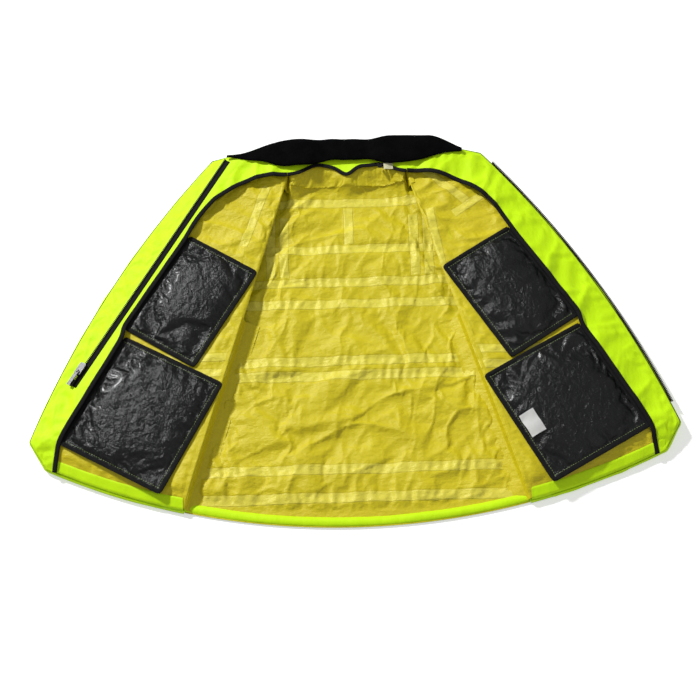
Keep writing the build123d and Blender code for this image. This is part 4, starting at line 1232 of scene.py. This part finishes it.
for hand, side in hands.items():
    for level, pouch in pouches.items():
        w, h = pouch["width"], pouch["height"]
        body = f"{hand}_{level}_pouch"
        seed = 70 + 10 * (side > 0) + 5 * (level == "upper")
        cols, rows = int(w / pouchLook["cells"]), int(h / pouchLook["cells"])
        a = np.r_[-0.0003, np.linspace(0, w, cols), w + 0.0003]
        b = np.r_[np.linspace(0, h, rows), h + 0.0003]
        B, A = np.meshgrid(b, a, indexing="ij")
        # the front sheet swells between its seams and stands open at the mouth
        swell = np.sin(np.clip(A / w, 0, 1) * math.pi) ** 0.7 * (0.45 + 0.55 * np.sin(np.clip(B / h, 0, 1) * math.pi)) * (
            1 - smooth(B / h, 0.9, 1.0))
        field = wander(np.stack([A, B * 0.7], -1), seed, 0.06)
        z = pouchLook["lift"] + 0.0016 + pouchLook["puff"] * swell * (1 + 0.25 * field)
        wallEdge = (A < 0) | (A > w) | (B > h)
        z = np.where(wallEdge, 0.0297, z)
        front_ = pouchPoint(pouch, side, A, B, z)
        piece = gridPiece(f"{body}Front", front_, pouchNylon, flip=side > 0)
        edge = (A < 0.011) | (A > w - 0.011) | (B > h - 0.011) | (B < 0.011)
        crumple(piece, edge.astype(float).ravel(), pouchLook["growth"], pouchLook["cap"], bend=0.8, seed=seed)
        co = np.empty(len(piece.data.vertices) * 3)
        piece.data.vertices.foreach_get("co", co)
        co = co.reshape(-1, 3)
        co[:, 2] = np.maximum(co[:, 2], np.where(wallEdge.ravel(), 0.0297, pouchLook["lift"] + 0.0008))
        piece.data.vertices.foreach_set("co", co.ravel())
        piece.data.update()
        sheetOf(front_, 1.03)
        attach(piece, body)
        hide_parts(f"{body}_front", f"{body}_gusset")

        B2, A2 = np.meshgrid(np.linspace(0.001, h - 0.001, 30), np.linspace(0.001, w - 0.001, 24), indexing="ij")
        rear = pouchPoint(pouch, side, A2, B2, 0.0297 + 0.0002 * wander(np.stack([A2, B2], -1), seed + 1, 0.05))
        piece = gridPiece(f"{body}Back", rear, pouchNylon, flip=side < 0)
        sheetOf(rear)
        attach(piece, body)
        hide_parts(f"{body}_back")

        run = roundedPath([(w - 0.003, 0.0015), (0.0015, 0.0015), (0.0015, h - 0.0015), (w - 0.003, h - 0.0015),
                           (w - 0.0015, h * 0.5), (w - 0.0015, 0.004)], 0.004, 420)
        mouth = np.clip(1 - run[:, 1] / 0.006, 0, 1) * np.sin(np.clip(run[:, 0] / w, 0, 1) * math.pi) ** 0.7
        tapeZ = 0.0318 + pouchLook["puff"] * 0.45 * mouth + 0.0004 * np.sin(run[:, 0] * 150 + run[:, 1] * 120)
        path = pouchPoint(pouch, side, run[:, 0], run[:, 1], tapeZ)
        piece = tapeAlong(f"{body}Binding", path, pouchLook["band"], 0.0030, bindingTape)
        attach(piece, body)
        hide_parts(f"{body}_binding")

        inset = 0.0075
        threads = []
        for corners in ([(w - 0.006, inset), (inset, inset)], [(inset, inset), (inset, h - inset)],
                        [(inset, h - inset), (w - 0.010, h - inset)]):
            line = resample(np.array(corners, float), 60)
            mouth = np.sin(np.clip(line[:, 0] / w, 0, 1) * math.pi) ** 0.7 * (
                0.45 + 0.55 * np.sin(np.clip(line[:, 1] / h, 0, 1) * math.pi)) * (1 - smooth(line[:, 1] / h, 0.9, 1.0))
            height = pouchLook["lift"] + 0.0020 + pouchLook["puff"] * mouth
            threads.append(frameAlong(pouchPoint(pouch, side, line[:, 0], line[:, 1], height), 0.0046))
        joined = [np.concatenate(parts) for parts in zip(*threads)]
        piece = repeated(f"{body}Stitching", stitch, stitchFaces, *joined, stitchThread)
        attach(piece, body)

low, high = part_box("care_label")
spot = mirrored(np.array([*((low + high) / 2)]), 1)[:2] - pouches["lower"]["corner"]
labelA, labelB = float(spot @ pouches["lower"]["across"]), float(spot @ pouches["lower"]["along"])
u, v = np.meshgrid(np.linspace(-0.5, 0.5, 18), np.linspace(-0.5, 0.5, 22), indexing="ij")
labelXyz = pouchPoint(pouches["lower"], 1, labelA + u * 0.028, labelB + v * 0.044, 0.0)
over = overCloth(bpy.data.objects["left_lower_pouchFront"], labelXyz[..., :2].reshape(-1, 2), 0.007, 4)
labelXyz[..., 2] = over.reshape(u.shape) + 0.0009 + 0.0010 * (1 + np.sin(u * 5 + v * 2 + 1)) + 0.0006 * (1 + np.sin(v * 9))
piece = gridPiece("careLabel", labelXyz, labelCloth)
sheetOf(labelXyz)
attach(piece, "left_lower_pouch")
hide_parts("care_label")
print("pouches ready")

# ---- zips
toothShape = np.array([[x, y, z] for x in (-0.0009, 0.0009) for y in (-0.0016, 0.0016) for z in (-0.0012, 0.0012)])
toothFaces = [[0, 1, 3, 2], [4, 6, 7, 5], [0, 4, 5, 1], [2, 3, 7, 6], [0, 2, 6, 4], [1, 5, 7, 3]]
for hand, side in hands.items():
    if side < 0:
        line = resample(np.stack([zipStart, zipEnd]), 200)
        out = zipOut + 0 * line
        reach = np.linspace(-zipLook["tape"] + 0.004, 0.001, 7)
        lift = facingHeight(line[:, None] + out[:, None] * reach[:, None]) + facingThick + 0.0004
    else:
        # this half lies along the rim, rolled under the facing
        rim = resample(edgeCurve(), 220)[10:-14]
        line = rim
        ahead = np.gradient(rim, axis=0)
        ahead /= np.linalg.norm(ahead, axis=1, keepdims=True)
        out = np.stack([-ahead[:, 1], ahead[:, 0]], -1)
        reach = np.linspace(-0.004, 0.0045, 5)
        lift = facingHeight(line)[:, None] - 0.0040 + 0 * reach
    plane = line[:, None] + out[:, None] * reach[:, None]
    xyz = mirrored(np.concatenate([plane, lift[..., None]], -1), side)
    piece = gridPiece(f"{hand}ZipTape", xyz, zipCloth, flip=side < 0)
    piece = thicken(piece, 0.0006, 0.0)
    sheetOf(xyz)
    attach(piece, f"{hand}_front")
    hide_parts(f"{hand}_zip_tape")
    path = line + out * reach[-1]
    path = mirrored(np.concatenate([path, (lift[:, -1:] + 0.0012)], -1), side)
    piece = repeated(f"{hand}ZipTeeth", toothShape, toothFaces, *frameAlong(path, zipLook["pitch"]), zipPlastic)
    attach(piece, f"{hand}_front")
    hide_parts(f"{hand}_zip_chain")
print("zips ready")

# ---- what lies inside and the bands outside
inside = {"neckHigh": 0.0250, "lobeHigh": 0.0128, "low": 0.0022, "lobeFrom": 0.050, "lobeTo": 0.470, "lobeGap": 0.012}


def pillow(name, plane, low, high, material):
    # a closed pad over a plan grid: both sides swell from a seam at mid height
    rows, cols = plane.shape[:2]
    a = np.sin(np.linspace(0, 1, rows) * math.pi)[:, None] ** 0.35
    b = np.sin(np.linspace(0, 1, cols) * math.pi)[None] ** 0.35
    swell = np.clip(a * b, 0, 1)
    middle, half = (low + high) / 2, (high - low) / 2
    top = np.concatenate([plane, (middle + half * swell)[..., None]], -1)
    foot = np.concatenate([plane, (middle - half * swell)[..., None]], -1)
    loop = np.concatenate([top, foot[:, ::-1][:, 1:-1]], 1)
    return capped(name, loop, material)


x = np.linspace(-0.090, 0.090, 40)
t = np.linspace(0, 1, 10)
plane = np.stack([x[:, None] + 0 * t, (neckEdgeY(x) + 0.008)[:, None] * (1 - t) + 0.352 * t], -1)
piece = pillow("bladderNeck", plane[:, ::-1], inside["low"], inside["neckHigh"], bladderFilm)
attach(piece, "back")
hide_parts("bladder_neck")
for hand, side in hands.items():
    s = np.linspace(inside["lobeFrom"], inside["lobeTo"], 60)
    near = atFold(0, 0)[None] + foldDown * s[:, None] + foldOut * (0.048 - 0.036 * smooth(s, 0.330, 0.345))[:, None]
    rim = lineAt(resample(edgeCurve(), 200), (s - 0.020) / foldLength)
    far = rim - foldOut * inside["lobeGap"]
    t = np.linspace(0, 1, 24)[:, None]
    plane = near[:, None] * (1 - t) + far[:, None] * t
    plane = plane * [side, 1]
    piece = pillow(f"{hand}BladderLobe", plane if side < 0 else plane[:, ::-1], inside["low"], inside["lobeHigh"], bladderFilm)
    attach(piece, f"{hand}_front")
    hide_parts(f"{hand}_bladder_lobe")

bands = {"back": ((0.068, 0.050), (-0.081, 0.030), (-0.295, 0.050)), "front": ((0.250, 0.050), (0.560, 0.050))}
t = np.linspace(0, 1, 8)
u = np.linspace(-1, 1, 80)
slabs = []
for middle, width in bands["back"]:
    y = middle + (t - 0.5) * width
    half = foldTop[0] + (foldTop[1] - y) * foldOut[1] / foldOut[0] - 0.003
    slabs.append(np.stack([u[:, None] * half, y + 0 * u[:, None], 0.0003 + 0.0002 * np.sin(u[:, None] * 40 + 0 * y)], -1))
for k, xyz in enumerate(slabs):
    piece = gridPiece(f"backBand{k + 1}", xyz, reflective, flip=True)
    sheetOf(xyz)
    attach(piece, "back")
    if k == 0:
        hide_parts("back_reflective_bands")
for hand, side in hands.items():
    for k, (down, width) in enumerate(bands["front"]):
        s = down + t * width
        near = foldTop + foldDown * s[:, None] + foldOut * np.where(s < 0.330, 0.037, 0.002)[:, None]
        rim = edgeCurve()
        far = np.stack([rim[np.argmin(np.abs((rim - foldTop) @ foldDown - d))] for d in s]) - foldOut * 0.002
        v = np.linspace(0, 1, 40)[:, None, None]
        plane = (near[None] * (1 - v) + far[None] * v) * [side, 1]
        xyz = np.concatenate([plane, 0.0003 + 0 * plane[..., :1]], -1)
        piece = gridPiece(f"{hand}FrontBand{k + 1}", xyz, reflective, flip=side > 0)
        sheetOf(xyz)
        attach(piece, f"{hand}_front")
        if k == 0:
            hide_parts(f"{hand}_front_reflective_bands")
print("inside and bands ready")

# ---- stage
studio = {"world": 0.34, "paperGlow": 0.42}
floor = makePiece("floor", np.array([[-6, -6, -0.0005], [6, -6, -0.0005], [6, 6, -0.0005], [-6, 6, -0.0005]]),
                  [[0, 1, 2, 3]], plainYellow, smooth=False)
paper = bpy.data.materials.new("paper")
paper.use_nodes = True
tree = paper.node_tree
diffuse = tree.nodes["Principled BSDF"]
diffuse.inputs["Base Color"].default_value = (0.80, 0.80, 0.80, 1)
diffuse.inputs["Roughness"].default_value = 0.9
diffuse.inputs["Emission Color"].default_value = (1.0, 1.0, 1.0, 1)
rays = tree.nodes.new("ShaderNodeLightPath")
shown = (Value(tree, rays.outputs["Is Camera Ray"]) + Value(tree, rays.outputs["Is Transmission Ray"])
         + Value(tree, rays.outputs["Is Glossy Ray"])).clip()
tree.links.new((shown * studio["paperGlow"]).out, diffuse.inputs["Emission Strength"])
floor.data.materials.clear()
floor.data.materials.append(paper)

world = bpy.data.worlds.new("studio")
scene.world = world
world.use_nodes = True
tree = world.node_tree
sky = tree.nodes["Background"]
sky.inputs["Color"].default_value = (1.0, 1.0, 1.0, 1)
rays = tree.nodes.new("ShaderNodeLightPath")
seen = Value(tree, rays.outputs["Is Camera Ray"]) + Value(tree, rays.outputs["Is Transmission Ray"])
level = seen.clip() * (1.0 - studio["world"]) + studio["world"]
tree.links.new(level.out, sky.inputs["Strength"])


def lamp(name, place, aim, size, power):
    light = bpy.data.lights.new(name, "AREA")
    light.shape = "DISK"
    light.size = size
    light.energy = power
    thing = bpy.data.objects.new(name, light)
    thing.location = place
    direction = Vector(aim) - Vector(place)
    thing.rotation_euler = direction.to_track_quat("-Z", "Y").to_euler()
    scene.collection.objects.link(thing)
    return thing


lights = {"key": ((-3.4, 3.4, 4.0), (0, 0, 0), 0.55, 400), "fill": ((1.6, -1.2, 2.4), (0, 0, 0), 2.0, 6)}
for name, (place, aim, size, power) in lights.items():
    lamp(name, place, aim, size, power)

view = {"distance": 2.0, "elevation": 68.0, "aim": (0.0, -0.010, 0.0), "lens": 55.6, "roll": -1.8,
        "shift": (-2 / 700, -17 / 700)}
data = bpy.data.cameras.new("camera")
data.sensor_width = 36
data.lens = view["lens"]
data.shift_x, data.shift_y = view["shift"]
camera = bpy.data.objects.new("camera", data)
scene.collection.objects.link(camera)
up = math.radians(view["elevation"])
aim = Vector(view["aim"])
camera.location = aim + Vector((0, -math.cos(up), math.sin(up))) * view["distance"]
look = (aim - camera.location).to_track_quat("-Z", "Y")
roll = Quaternion((0, 0, 1), math.radians(view["roll"]))
camera.rotation_euler = (look @ roll).to_euler()
scene.camera = camera
scene.view_settings.view_transform = "Standard"
